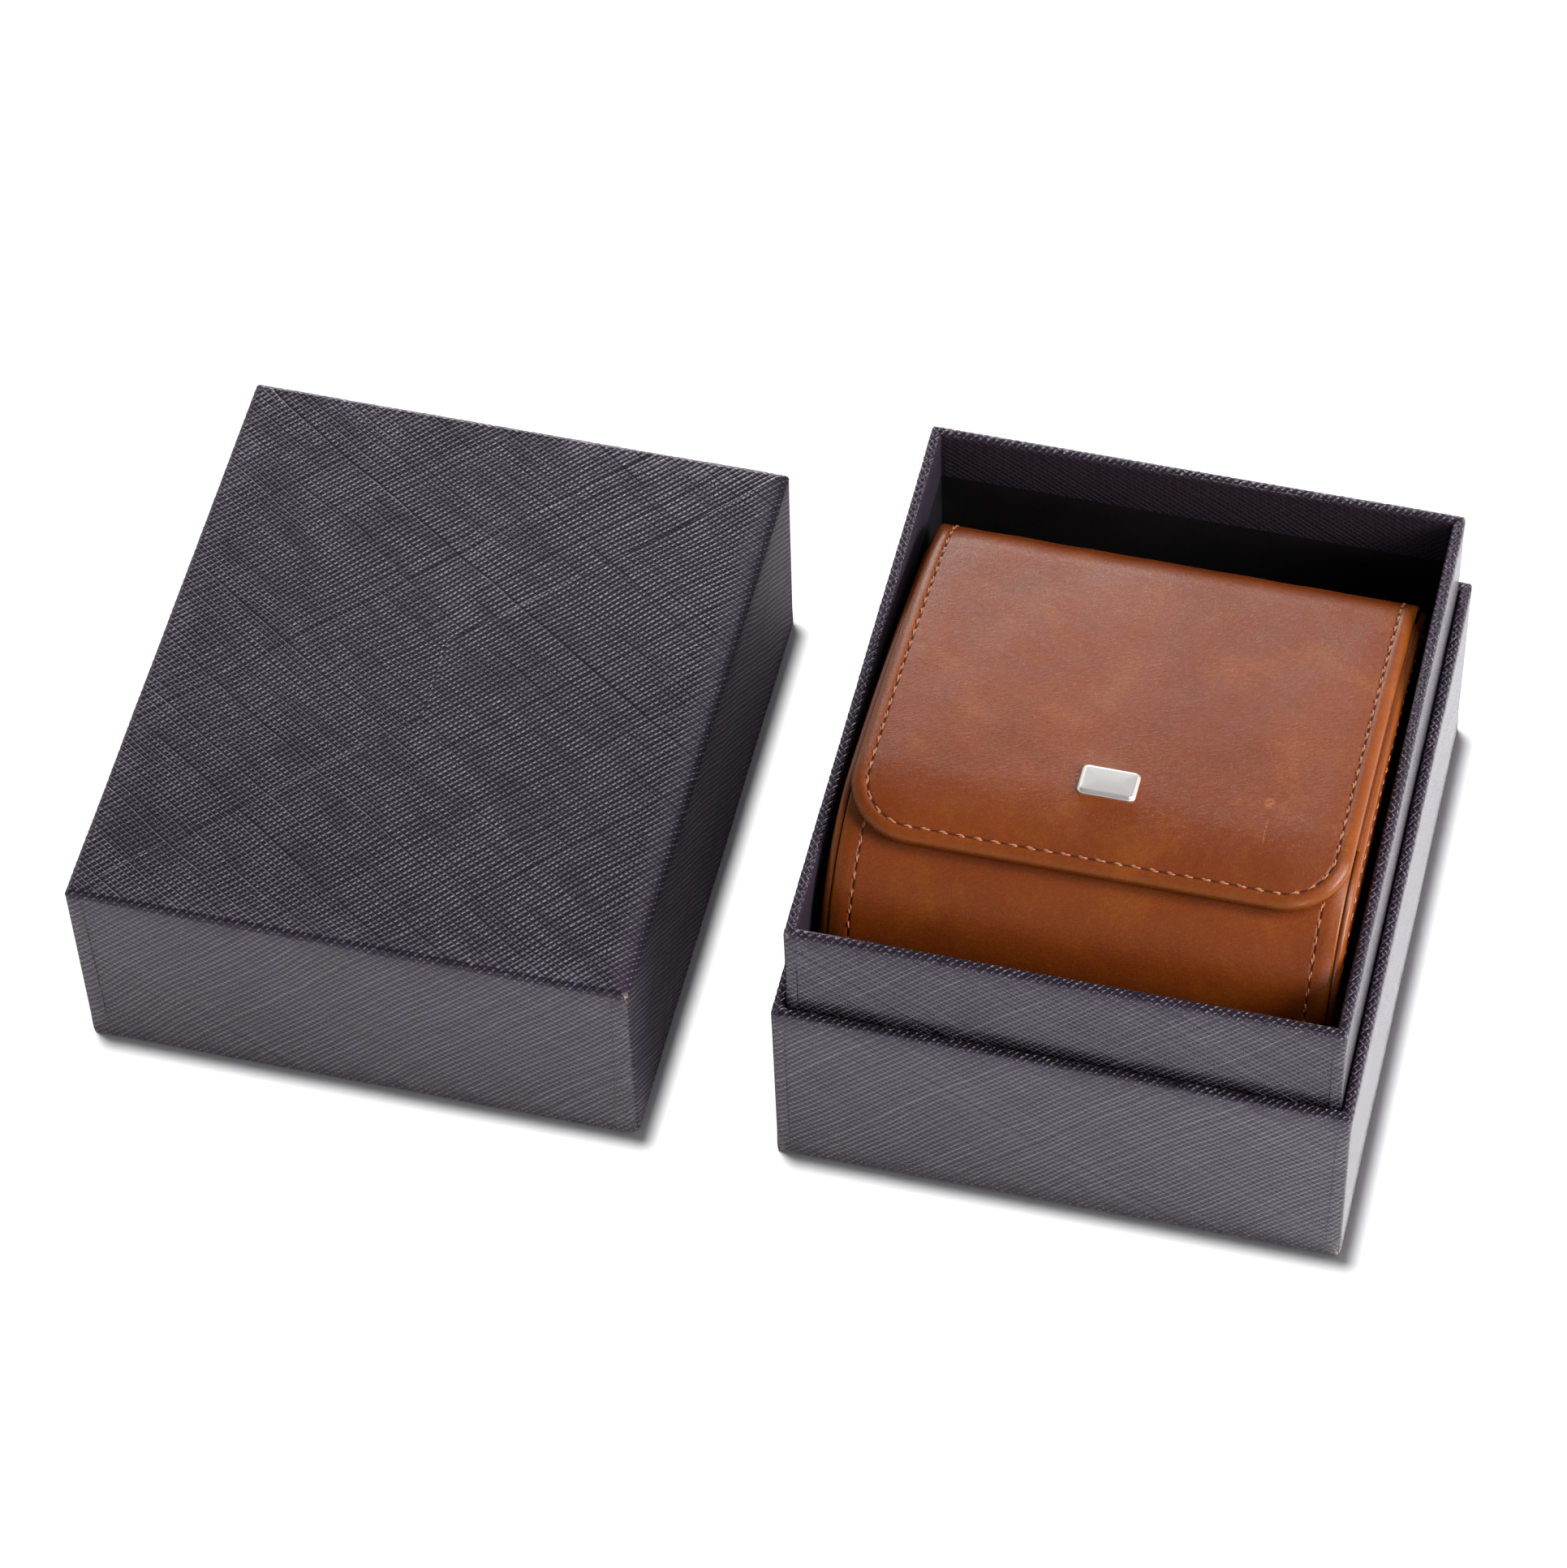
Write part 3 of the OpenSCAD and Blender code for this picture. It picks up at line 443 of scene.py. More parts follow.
def suede(name, base, dark):
    m = Mat(name)
    p = m.place()
    nap = m.noise(p, 3.5, 3.0, 0.7)
    brushed = m.fit(m.noise(m.scaled(p, (0.5, 0.12, 0.3)), 0.7, 3.0, 0.6), 0.28, 0.72)
    swept = m.fit(m.noise(m.scaled(p, (0.9, 0.3, 0.3)), 0.09, 2.0, 0.5), 0.30, 0.70)
    tone = m.mix(m.add(m.mul(brushed, 0.34), m.mul(swept, 0.40)), dark, base)
    tone = m.mix(m.mul(nap, 0.35), tone, dark)
    m.set(Base_Color=tone, Roughness=m.line(nap, 0.1, 0.82), Specular_IOR_Level=0.2, Sheen_Weight=0.45,
          Sheen_Roughness=0.45, Sheen_Tint=(0.85, 0.62, 0.45), Normal=m.bump(nap, 0.00012, 0.8))
    return m.m


def thread(name, base, dark):
    m = Mat(name)
    p = m.place()
    strand, patch = m.noise(p, 6.0, 2.0, 0.6), m.noise(p, 0.35, 2.0, 0.5)
    tone = m.mix(m.fit(strand, 0.3, 0.7), dark, base)
    tone = m.mix(m.mul(m.fit(patch, 0.42, 0.62), 0.55), tone, (0.42, 0.15, 0.06))
    m.set(Base_Color=tone, Roughness=m.line(strand, 0.15, 0.38), Specular_IOR_Level=0.5,
          Normal=m.bump(strand, 0.00005, 0.9))
    return m.m


def metal(name, base, rough, scratch):
    m = Mat(name)
    p = m.place()
    lines = m.noise(m.scaled(p, (0.08, 5.0, 5.0)), 1.0, 2.0, 0.5)
    spots = m.noise(p, 0.4, 3.0, 0.6)
    tone = m.mix(m.mul(spots, 0.25), base, tuple(0.8 * c for c in base))
    m.set(Base_Color=tone, Metallic=1.0, Roughness=m.line(lines, scratch, rough),
          Normal=m.bump(lines, 0.0000015, 0.5))
    return m.m


def hole_material(name):
    m = Mat(name)
    n = m.noise(m.place(), 4.0, 2.0, 0.6)
    # Painted shade: the needle holes are painted near black.
    tone = m.mix(n, (0.006, 0.003, 0.002), (0.02, 0.008, 0.004))
    m.set(Base_Color=tone, Roughness=m.line(n, 0.1, 0.85))
    return m.m


# Colours are linear: the main one, then the dark or light one that it is mixed with.
PAPER_MAT = embossed_paper("embossed_paper")
LINING_MAT = smooth_paper("black_lining_paper", (0.0045, 0.0045, 0.0055), (0.009, 0.009, 0.011))
BOTTOM_MAT = smooth_paper("bottom_paper", (0.014, 0.013, 0.015), (0.026, 0.025, 0.028))
STAY_MAT = fibre_board("kraft_stay", (0.38, 0.27, 0.16), (0.26, 0.18, 0.10), 1.3)
BOARD_MAT = fibre_board("grey_board", (0.22, 0.20, 0.18), (0.14, 0.13, 0.12))
LEATHER_MAT = leather("saddle_leather")
SUEDE_MAT = suede("brown_suede", (0.16, 0.065, 0.032), (0.085, 0.032, 0.016))
CUSHION_MAT = suede("cushion_suede", (0.30, 0.17, 0.10), (0.18, 0.095, 0.055))
THREAD_MAT = thread("copper_thread", (0.52, 0.205, 0.092), (0.27, 0.085, 0.036))
STEEL_MAT = metal("nickel_steel", (0.50, 0.50, 0.51), 0.26, 0.15)
BADGE_MAT = metal("polished_nickel", (0.90, 0.87, 0.84), 0.35, 0.05)
HOLE_MAT = hole_material("needle_hole")

# ---- paper-covered box parts

RIM_R, LID_R, CORNER_R = 0.95, 1.5, 0.8
# Steps between the columns and rows of a cover, and the turn in each mm that makes a full fold.
COLUMN_STEP, ROW_STEP, FOLD_TURN = 0.42, 5, 0.6
# How far the walls and the lid's top bow, a lap's thickness, and how far the paper lies inside the box.
WALL_BOW, TOP_BOW, LAP_T, SUNK = 0.10, 0.12, 0.20, 0.05
# Sides on which the sheet's two ends lap over each other: the front and the back.
LAPPED = (0, 2)


def rounded_profile(corners, step=0.16):
    """Points along a polyline of (inset, z, radius), their length so far, and the way in from each."""
    pts = []
    for n, (i, z, r) in enumerate(corners):
        p = np.array([i, z], float)
        if r <= 0 or n in (0, len(corners) - 1):
            pts.append(p)
            continue
        a = np.array(corners[n - 1][:2], float) - p
        b = np.array(corners[n + 1][:2], float) - p
        a, b = a / np.linalg.norm(a), b / np.linalg.norm(b)
        centre = p + (a + b) * r
        start, end = p + a * r, p + b * r
        t0 = math.atan2(*(start - centre)[::-1])
        t1 = math.atan2(*(end - centre)[::-1])
        turn = (t1 - t0 + math.pi) % (2 * math.pi) - math.pi
        for t in np.linspace(0, 1, max(4, int(abs(turn) * r / step)) + 1):
            pts.append(centre + r * np.array([math.cos(t0 + turn * t), math.sin(t0 + turn * t)]))
    pts = np.array(pts)
    q = np.concatenate([[0], np.cumsum(np.linalg.norm(np.diff(pts, axis=0), axis=1))])
    tangent = np.gradient(pts, q, axis=0)
    tangent /= np.linalg.norm(tangent, axis=1)[:, None]
    return pts, q, np.stack([tangent[:, 1], -tangent[:, 0]], 1)


def cover_profile(corners):
    """A cover's profile: inset, height, length so far, the way in, and how much it belongs to a fold."""
    pts, q, way_in = rounded_profile(corners)
    table = np.column_stack([pts, q, way_in])
    rows = []
    for a, b in zip(table[:-1], table[1:]):
        parts = max(1, int((b[2] - a[2]) / ROW_STEP))
        rows += [a * (1 - k / parts) + b * (k / parts) for k in range(parts)]
    inset, z, q, in_x, in_z = np.array(rows + [table[-1]]).T
    norm = np.hypot(in_x, in_z)
    in_x, in_z = in_x / norm, in_z / norm
    turning = np.abs(np.gradient(np.unwrap(np.arctan2(in_z, in_x)), q))
    return inset, z, q, in_x, in_z, np.clip(turning / FOLD_TURN, 0, 1)


def station_order(row):
    """A number that grows round the loop, for sorting its stations."""
    ax, ay, ux, uy, _ = row
    quarter = (math.degrees(math.atan2(uy, ux)) + 90) / 90
    if abs(quarter - round(quarter)) > 1e-6:
        return quarter % 4
    side = round(quarter) % 4
    return side + 1e-4 * (ax, ay, -ax, -ay)[side]


def with_laps(stations, w, seam_in):
    """The stations of a cover, with more of them close together where the sheet's ends lap."""
    rows = set(map(tuple, stations))
    for corner in (-1, 1):
        for k in (-0.3, -0.14, 0.0, 0.14, 0.3):
            t = corner * (1 - 2 * (seam_in + k) / w)
            rows |= {(t, -1, 0, -1, 0), (-t, 1, 0, 1, 2)}
    return np.array(sorted(rows, key=station_order))


def emboss(u, v):
    """Height of the two families of embossed lines at a place on the sheet."""
    out = 0
    for (degrees, period), weight, power in ((RIDGE, 0.6, 1), (CROSS, 0.55, 3)):
        a = math.radians(degrees)
        phase = 2 * math.pi * (u * math.cos(a) + v * math.sin(a)) / period
        out = out + weight * (0.5 + 0.5 * np.cos(phase)) ** power
    return out


def sheet_faces(points, lengths, side, w, d, fold_q, gap):
    """Faces round a cover, none at column gap, and each corner's place on the unfolded sheet."""
    n, total = points.shape[:2]
    k, j = np.meshgrid(np.arange(n), [j for j in range(total) if j != gap], indexing="ij")
    k2, j2 = (k + 1) % n, (j + 1) % total
    rows, cols = np.stack([k, k, k2, k2], -1), np.stack([j, j2, j2, j], -1)
    x, y, q = points[rows, cols, 0], points[rows, cols, 1], lengths[cols]
    if fold_q is None:
        us, vs = (x, y, -x, -y), (q, q, q, q)
    else:
        q = q - fold_q
        us, vs = (x, w / 2 - q, x, -w / 2 + q), (-d / 2 + q, y, d / 2 - q, y)
    which = np.broadcast_to(side[k2][..., None], x.shape)
    loops = np.stack([np.choose(which, us), np.choose(which, vs)], -1)
    return (rows * total + cols).reshape(-1, 4).tolist(), loops.reshape(-1, 2)


def paper_cover(name, w, d, at, corners, body, nodes, seed, low_r=CORNER_R, fold_q=None, seam_in=1.8,
                worn=(), matt=()):
    """A sheet of paper over a rigid board box: a thin closed shell swept round the walls.

    The sheet's ends lap over the front and the back, seam_in from the corners. fold_q is the length
    at which a top begins. worn are rubbed spots (x, y, z, size), matt the sides with a dull coating.
    """
    inset, height, length, in_x, in_z, rim = cover_profile(corners)
    stations = with_laps(loop_stations(w, d, COLUMN_STEP), w, seam_in)
    ax, ay, ux, uy, side = (column[:, None] for column in stations.T)
    shape = len(stations), len(inset)
    radius = CORNER_R + (low_r - CORNER_R) * np.clip(1 - height / LID_H, 0, 1)

    def place(into):
        r = np.where(into > w / 2 - 0.1, 0.0, np.maximum(radius - into, 0.10))
        hx, hy = np.maximum(w / 2 - into - r, 0), np.maximum(d / 2 - into - r, 0)
        return ax * hx + ux * r, ay * hy + uy * r

    q = np.broadcast_to(length, shape)
    x0, y0 = place(np.broadcast_to(inset, shape))
    on_x = side % 2 == 0
    along = np.where(on_x, x0 * np.where(side == 0, 1, -1), y0 * np.where(side == 1, 1, -1))
    half = np.where(on_x, w, d) / 2
    top = np.zeros(shape) if fold_q is None else smooth(fold_q + 0.5, fold_q + 3, q)
    wall = (1 - top) * (1 - rim)
    # how far each point leaves the plain box: soft waves, the paper's relief on folds, the laps
    from_corner = (1 - np.where(on_x, np.abs(ax), np.abs(ay))) * half
    lapped = np.isin(side, LAPPED) * np.ones(shape)
    over = 1 - smooth(seam_in - 0.15, seam_in + 0.01, from_corner)
    lap = LAP_T * lapped * over * smooth(0.0, 0.6, from_corner)
    slack = np.minimum(np.clip(1 - np.abs(along) / half, 0, 1) * 6, 1)
    soft = waves(along + 31 * side, q, 45, seed) * WALL_BOW * slack * (1 - top)
    soft = soft + top * waves(x0, y0, 60, seed) * TOP_BOW
    lump = emboss(along, q) * 0.12 + waves(along, q * 3, 3.0, seed + 5) * 0.03
    delta = soft * (1 - 0.5 * rim) + lump * rim - SUNK + lap * wall
    x, y = place(inset - delta * in_x)
    z = height - delta * in_z
    inner_x, inner_y = place(np.broadcast_to(inset + PAPER * in_x * 0.9, shape))
    inner_z = np.broadcast_to(height + PAPER * in_z * 0.9, shape)
    inner = np.stack([inner_x, inner_y, inner_z], -1)
    points = np.concatenate([np.stack([x, y, z], -1), inner[:, ::-1]], 1)

    def outside(values):
        values = np.broadcast_to(values, shape)
        return np.concatenate([values, 0 * values], 1)

    # The lap's edge, which the paper's material paints as a thin line of shade.
    seam = lapped * bell(from_corner, seam_in, 0.16) * wall * smooth(0.5, 2.0, height)
    rubbed = np.zeros(shape)
    for sx, sy, sz, size in worn:
        rubbed = np.maximum(rubbed, np.exp(-((x - sx) ** 2 + (y - sy) ** 2 + (z - sz) ** 2) / size ** 2))
    # The turn-ins inside the walls, which the paper's material paints in shade.
    turned_in = ((np.abs(inset - WALL) < 0.3) & (np.abs(in_x) > 0.7)) * np.ones(shape)
    gap = None if fold_q is None else len(inset) - 1
    lengths = np.concatenate([length, length[::-1]])
    faces, loops = sheet_faces(points, lengths, side.ravel().astype(int), w, d, fold_q, gap)
    placed = (points + (*at, 0)).reshape(-1, 3)
    obj = build(name, placed, faces, PAPER_MAT, "outer_paper", loops=loops, sharp=50,
                rim=outside(rim), seam=outside(seam), worn=outside(rubbed),
                matt=outside(np.isin(side, matt) * (1 - top)),
                inside=np.concatenate([turned_in, turned_in[:, ::-1]], 1),
                top=np.concatenate([top, top[:, ::-1]], 1))
    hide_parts(*nodes)
    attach(obj, body)


paper_cover(
    "tray_cover", BOX_W, BOX_D, (0, 0),
    [(12, PAPER, 0), (0, PAPER, 0.7), (0, TRAY_H, RIM_R), (WALL, TRAY_H, RIM_R), (WALL, TRAY_H - TURN_IN, 0)],
    "base", ("base_wrap", "base_turn_ins"), seed=11, low_r=1.3,
    worn=((-57.3, -67.3, 0.6, 1.3), (57.0, -67.3, 0.8, 1.0)))
paper_cover(
    "neck_cover", BOX_W - 2 * NECK_IN, BOX_D - 2 * NECK_IN, (0, 0),
    [(0, TRAY_FLOOR, 0), (0, NECK_TOP, RIM_R), (WALL, NECK_TOP, RIM_R), (WALL, NECK_TOP - TURN_IN, 0)],
    "base", ("neck_wrap", "neck_turn_ins"), seed=23,
    worn=((-54.6, -64.6, 72.6, 0.7), (54.6, 64.6, 72.6, 0.7)))
# The lid's top begins half-way round its upper fold. Half a rounded corner saves this share of its radius.
SAVED = 1 - math.pi / 4
LID_FOLD = TURN_IN + WALL + LID_H - (4 * RIM_R + LID_R) * SAVED
paper_cover(
    "lid_cover", BOX_W, BOX_D, (LID_X, LID_Y),
    [(WALL, TURN_IN, 0), (WALL, 0, RIM_R), (0, 0, RIM_R), (0, LID_H, LID_R), (BOX_W / 2 - 0.01, LID_H, 0)],
    "lid", ("lid_wrap", "lid_turn_ins"), seed=37, low_r=2.0, fold_q=LID_FOLD, seam_in=2.6, matt=(1,),
    worn=((57.3, -67.0, 48.6, 0.8), (57.1, -67.2, 46.0, 0.8)))


def lid_card():
    """The lid's board, with its outer edges eased so that the paper lies round over them."""
    low, top, outer, inner, ease = PAPER, LID_H - PAPER, PAPER, WALL - PAPER, 1.1
    turns = np.radians(range(0, 91, 15))
    rows = [(outer + ease * (1 - math.sin(a)), top - ease * (1 - math.cos(a))) for a in turns]
    rows += [(outer, low + 0.6), (outer + 0.2, low + 0.15), (outer + 0.6, low), (inner - 0.6, low),
             (inner - 0.2, low + 0.15), (inner, low + 0.6), (inner, LID_H - WALL + PAPER)]
    stations = loop_stations(BOX_W, BOX_D, 8.0)
    layers = []
    for inset, z in rows:
        x, y = round_ring(stations, BOX_W, BOX_D, inset, max(1.9 - inset, 0.3))
        layers.append(np.stack([x + LID_X, y + LID_Y, np.full(len(x), z)], 1))
    obj = build("lid_card", *stacked(layers), BOARD_MAT, "board", sharp=40)
    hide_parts("lid_board")
    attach(obj, "lid")


lid_card()

# ---- side profile of the travel case


def by_arc(s, back, top, front):
    """Which of three values holds at length s: on the back's bend, the long top or the front's bend."""
    return np.where(s < 0, back, np.where(s < TOP_L, top, front))


def top_deg(s):
    s = np.asarray(s, float)
    on_top = TOP_START + np.degrees(s / R2)
    return by_arc(s, TOP_START + np.degrees(s / R1), on_top, TOP_END + np.degrees((s - TOP_L) / R3))


def top_point(s, d):
    """Y and Z at length s along the flap's outer face, d below it."""
    s, d = np.broadcast_arrays(np.asarray(s, float), np.asarray(d, float))
    a = np.radians(top_deg(s))
    r = by_arc(s, R1, R2, R3) - d
    return (by_arc(s, C1[0], C2[0], C3[0]) + r * np.cos(a),
            by_arc(s, C1[1], C2[1], C3[1]) + r * np.sin(a))


def arc(c, r, a0, a1, drop=0.0, step=1.2):
    n = max(2, int(abs(math.radians(a1 - a0)) * r / step))
    a = np.radians(np.linspace(a0, a1, n + 1))
    return np.stack([np.full(n + 1, c[0]), np.full(n + 1, c[1]), np.full(n + 1, r - drop), a], 1)


def straight(y0, z0, y1, z1, a, step=1.6):
    n = max(2, int(math.hypot(y1 - y0, z1 - z0) / step))
    t = np.linspace(0, 1, n + 1)
    return np.stack([y0 + (y1 - y0) * t, z0 + (z1 - z0) * t, 0 * t, np.full(n + 1, math.radians(a))], 1)


def joined(*parts):
    """Stations (cy, cz, r, angle) of a path, and the length to each along its outer face."""
    p = np.concatenate([parts[0]] + [q[1:] for q in parts[1:]])
    y, z = on_path(p, 0)
    return p, np.concatenate([[0], np.cumsum(np.hypot(np.diff(y), np.diff(z)))])


def on_path(p, d):
    """Y and Z of stations at depth d, which may have a column for each column of a grid."""
    cy, cz, r, a = (column[:, None] for column in p.T) if np.ndim(d) == 2 else p.T
    return cy + (r - d) * np.cos(a), cz + (r - d) * np.sin(a)


LOWER = (
    straight(FRONT_Y, C4[1], FRONT_Y, CASE_Z + FRONT_BOTTOM_R, 180),
    arc((FRONT_Y + FRONT_BOTTOM_R, CASE_Z + FRONT_BOTTOM_R), FRONT_BOTTOM_R, 180, 270),
    straight(FRONT_Y + FRONT_BOTTOM_R, CASE_Z, BACK_Y - BACK_BOTTOM_R, CASE_Z, 270),
    arc((BACK_Y - BACK_BOTTOM_R, CASE_Z + BACK_BOTTOM_R), BACK_BOTTOM_R, 270, 360),
    straight(BACK_Y, CASE_Z + BACK_BOTTOM_R, BACK_Y, C1[1], 360),
)
BODY, BODY_T = joined(
    arc(C2, R2, float(top_deg(LIP_S)), TOP_END, DROP, 0.2),
    arc(C3, R3, TOP_END, SWELL, DROP), arc(C4, R4, SWELL, 180), *LOWER)
# Length at which the wrap reaches the underside.
FRONT_T = BODY_T[np.argmin(np.abs(BODY[:, 3] - math.radians(270)))]

# ---- flap, from the back over the top


def flap_share(s):
    """0 where the hide is a single layer behind, 1 where it is made up with board and lining."""
    return smooth(-11.0, -2.5, s)


def flap_outer(x, s, e):
    """Depth of the outer face below its plain profile: rolled edge, seam, dent of the badge, waves."""
    w = flap_share(s)
    depth = (0.6 + 0.95 * w) * rolled(e, 0.7 + 1.5 * w)
    depth = depth - 0.12 * w * bell(e, 2.2, 0.7) + SEAM_DEPTH * bell(e, FLAP_SEAM, 0.24)
    depth = depth - 0.20 * w * smooth(3.3, 7.5, e)
    depth = depth - 0.75 * np.exp(-((x / 7.5) ** 2 + ((s - BADGE_S - 0.5) / 6.0) ** 2))
    depth = depth + 0.16 * np.exp(-((x / 10.5) ** 2 + ((s - BADGE_S) / 9.0) ** 2))
    depth = depth + 0.14 * waves(x, s, 34, 3) * smooth(4, 12, e) * w
    return depth + 0.05 * waves(x, s, 9, 4) * smooth(3, 8, e)


def flap_inner(x, s, e):
    """Depth of the hide's inner face, with a recess for the lining."""
    w = flap_share(s)
    r = 0.6 + 0.8 * w
    return HIDE + 1.8 * w - r * rolled(e, r) - 0.75 * w * smooth(2.15, 2.5, e)


def flap_outline(e, side_s, front_n, turn):
    """X and S along the flap's three free edges, e in from them, from the left end of the back."""
    half, end, r = SHELL_HALF - FLAP_CORNER, FLAP_END_S - FLAP_CORNER, FLAP_CORNER - e
    reach, ones = half + r, np.ones(len(side_s))
    x = (-reach * ones, -half - r * np.cos(turn), np.linspace(-half, half, front_n),
         half + r * np.sin(turn), reach * ones)
    s = (side_s, end + r * np.sin(turn), np.full(front_n, end + r), end + r * np.cos(turn), side_s[::-1])
    return np.concatenate(x), np.concatenate(s)


def quarter(steps):
    """Angles inside a quarter turn."""
    return np.radians(np.linspace(0, 90, steps))[1:-1]


def flap_solid(name, outer, inner, s0, material, slot, inset, rings):
    """A closed solid in the flap's plan: bands along its three free edges, and a grid between them."""
    half, end = SHELL_HALF - FLAP_CORNER, FLAP_END_S - FLAP_CORNER
    side_s = np.linspace(s0, end, int(end - s0) + 1)
    front_x = np.linspace(-half, half, int(2 * half) + 1)
    bands = [flap_outline(inset + e, side_s, len(front_x), quarter(22)) for e in rings]
    xs, ss = np.moveaxis(np.array(bands), 0, -1)
    es = np.broadcast_to(np.array(rings) + inset, xs.shape)
    gx, gs = np.meshgrid(front_x, side_s, indexing="xy")
    points, faces, from_edge = [], [], []
    for flip, depth in ((False, outer), (True, inner)):
        for x, s, e in ((xs, ss, es), (gx, gs, np.full(gx.shape, FLAP_CORNER))):
            faces += grid_faces(*x.shape, sum(map(len, points)), flip=flip)
            points.append(np.stack([x, *top_point(s, depth(x, s, e)), s], -1).reshape(-1, 4))
            from_edge.append(e.ravel())
    points, e = np.concatenate(points), np.concatenate(from_edge)
    under = xs.size + gx.size
    cols = xs.shape[1]
    for first, count in ((0, cols), (xs.size - cols, cols), (xs.size, gx.shape[1])):
        faces += strip(first, count, under)
    # Burnish and painted highlight along the edges.
    edge = bell(e, 0.0, 1.3) + 0.3 * bell(e, 1.6, 1.4)
    # Painted shade along the seam's groove.
    groove = 0.8 * bell(e, FLAP_SEAM, 0.15)
    edge[under:] *= 0.6
    groove[under:] = 0
    return build(name, points[:, :3], faces, material, slot, uv=points[:, [0, 3]],
                 edge=np.clip(edge, 0, 1), groove=groove, dark=0 * edge)


# Distances in from the flap's edge at which its bands have points, close together at the seam.
FLAP_RINGS = (0, 0.05, 0.15, 0.3, 0.5, 0.75, 1.05, 1.4, 1.8, 2.2, 2.5, 2.75, 2.9, 3.0, 3.1, 3.2, 3.3, 3.4,
              3.5, 3.65, 3.9, 4.3, 5, 6, 7.5, 9, 11, 13)
flap_cover = flap_solid("flap_cover", flap_outer, flap_inner, BACK_S, LEATHER_MAT, "leather", 0.0, FLAP_RINGS)
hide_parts("flap_leather")

# The lining: how far in from the flap's edges, its edges' round, thickness, depth and dip at the back.
LINING_IN, LINING_ROLL, LINING_T, LINING_DEPTH, LINING_DIP = 2.0, 0.37, 0.74, 2.27, 0.43


def lining_outer(x, s, e):
    base = LINING_DEPTH + LINING_DIP * (1 - smooth(-13.0, -3.0, s))
    return base + LINING_ROLL * rolled(e - LINING_IN, LINING_ROLL)


def lining_inner(x, s, e):
    base = LINING_DEPTH + LINING_DIP * (1 - smooth(-13.0, -3.0, s)) + LINING_T
    return base - LINING_ROLL * rolled(e - LINING_IN, LINING_ROLL) + 0.03 * waves(x, s, 12, 9)


flap_suede = flap_solid("flap_suede", lining_outer, lining_inner, -15.2, SUEDE_MAT, "suede", LINING_IN,
                        (0, 0.06, 0.18, 0.37, 1, 3, 6, 11))
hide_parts("flap_lining")

# ---- the wrap round the case


def across(half, grooves):
    """Columns from edge to edge, close together at the edges and the seams, and how far in each one is."""
    steps = (-0.6, -0.35, -0.2, -0.1, 0, 0.1, 0.2, 0.35, 0.6)
    e = {0, 0.05, 0.15, 0.3, 0.45, 0.6, 1.0, 1.6, 2.2, 5.6, 6.5, 8, 10, 13, 17, 22, 28, 34, 40, 45}
    e |= {round(g + k, 3) for g in grooves for k in steps}
    e = np.array(sorted(v for v in e if v < half - 1))
    return np.concatenate([-half + e, [0], (half - e)[::-1]]), np.concatenate([e, [half], e[::-1]])


# The lip's flat end: depth below the wrap's face, thickness, and lengths in from the edge.
LIP_DEPTH, LIP_T, LIP_RUNS = 3.6, 0.6, (2.5, 1.2)


def lip(roll):
    """The hide turned round the shell's front edge: rows of its two faces in Y and Z, and their lengths."""
    angle = BODY[0, 3]
    out = np.array([math.cos(angle), math.sin(angle)])
    back = np.array([-out[1], out[0]])
    centre = np.ravel(on_path(BODY[:1], LIP_R))
    flat = np.zeros((len(roll), 1))
    outer, inner, lengths = [], [], []
    for run in LIP_RUNS:
        base = centre + out * (LIP_R - LIP_DEPTH) + back * run
        outer.append(base + flat)
        inner.append(base + out * LIP_T + flat)
        lengths.append(-6 - run)
    for phi in np.radians(np.linspace(180, 0, 13))[:-1]:
        way = math.cos(phi) * out - math.sin(phi) * back
        r = LIP_R + (0.1 if phi > 2 else 0)
        outer.append(centre + way * (r - roll[:, None] * 0.8))
        inner.append(centre + way * LIP_T + flat)
        lengths.append(-phi * LIP_R)
    return outer, inner, np.array(lengths)


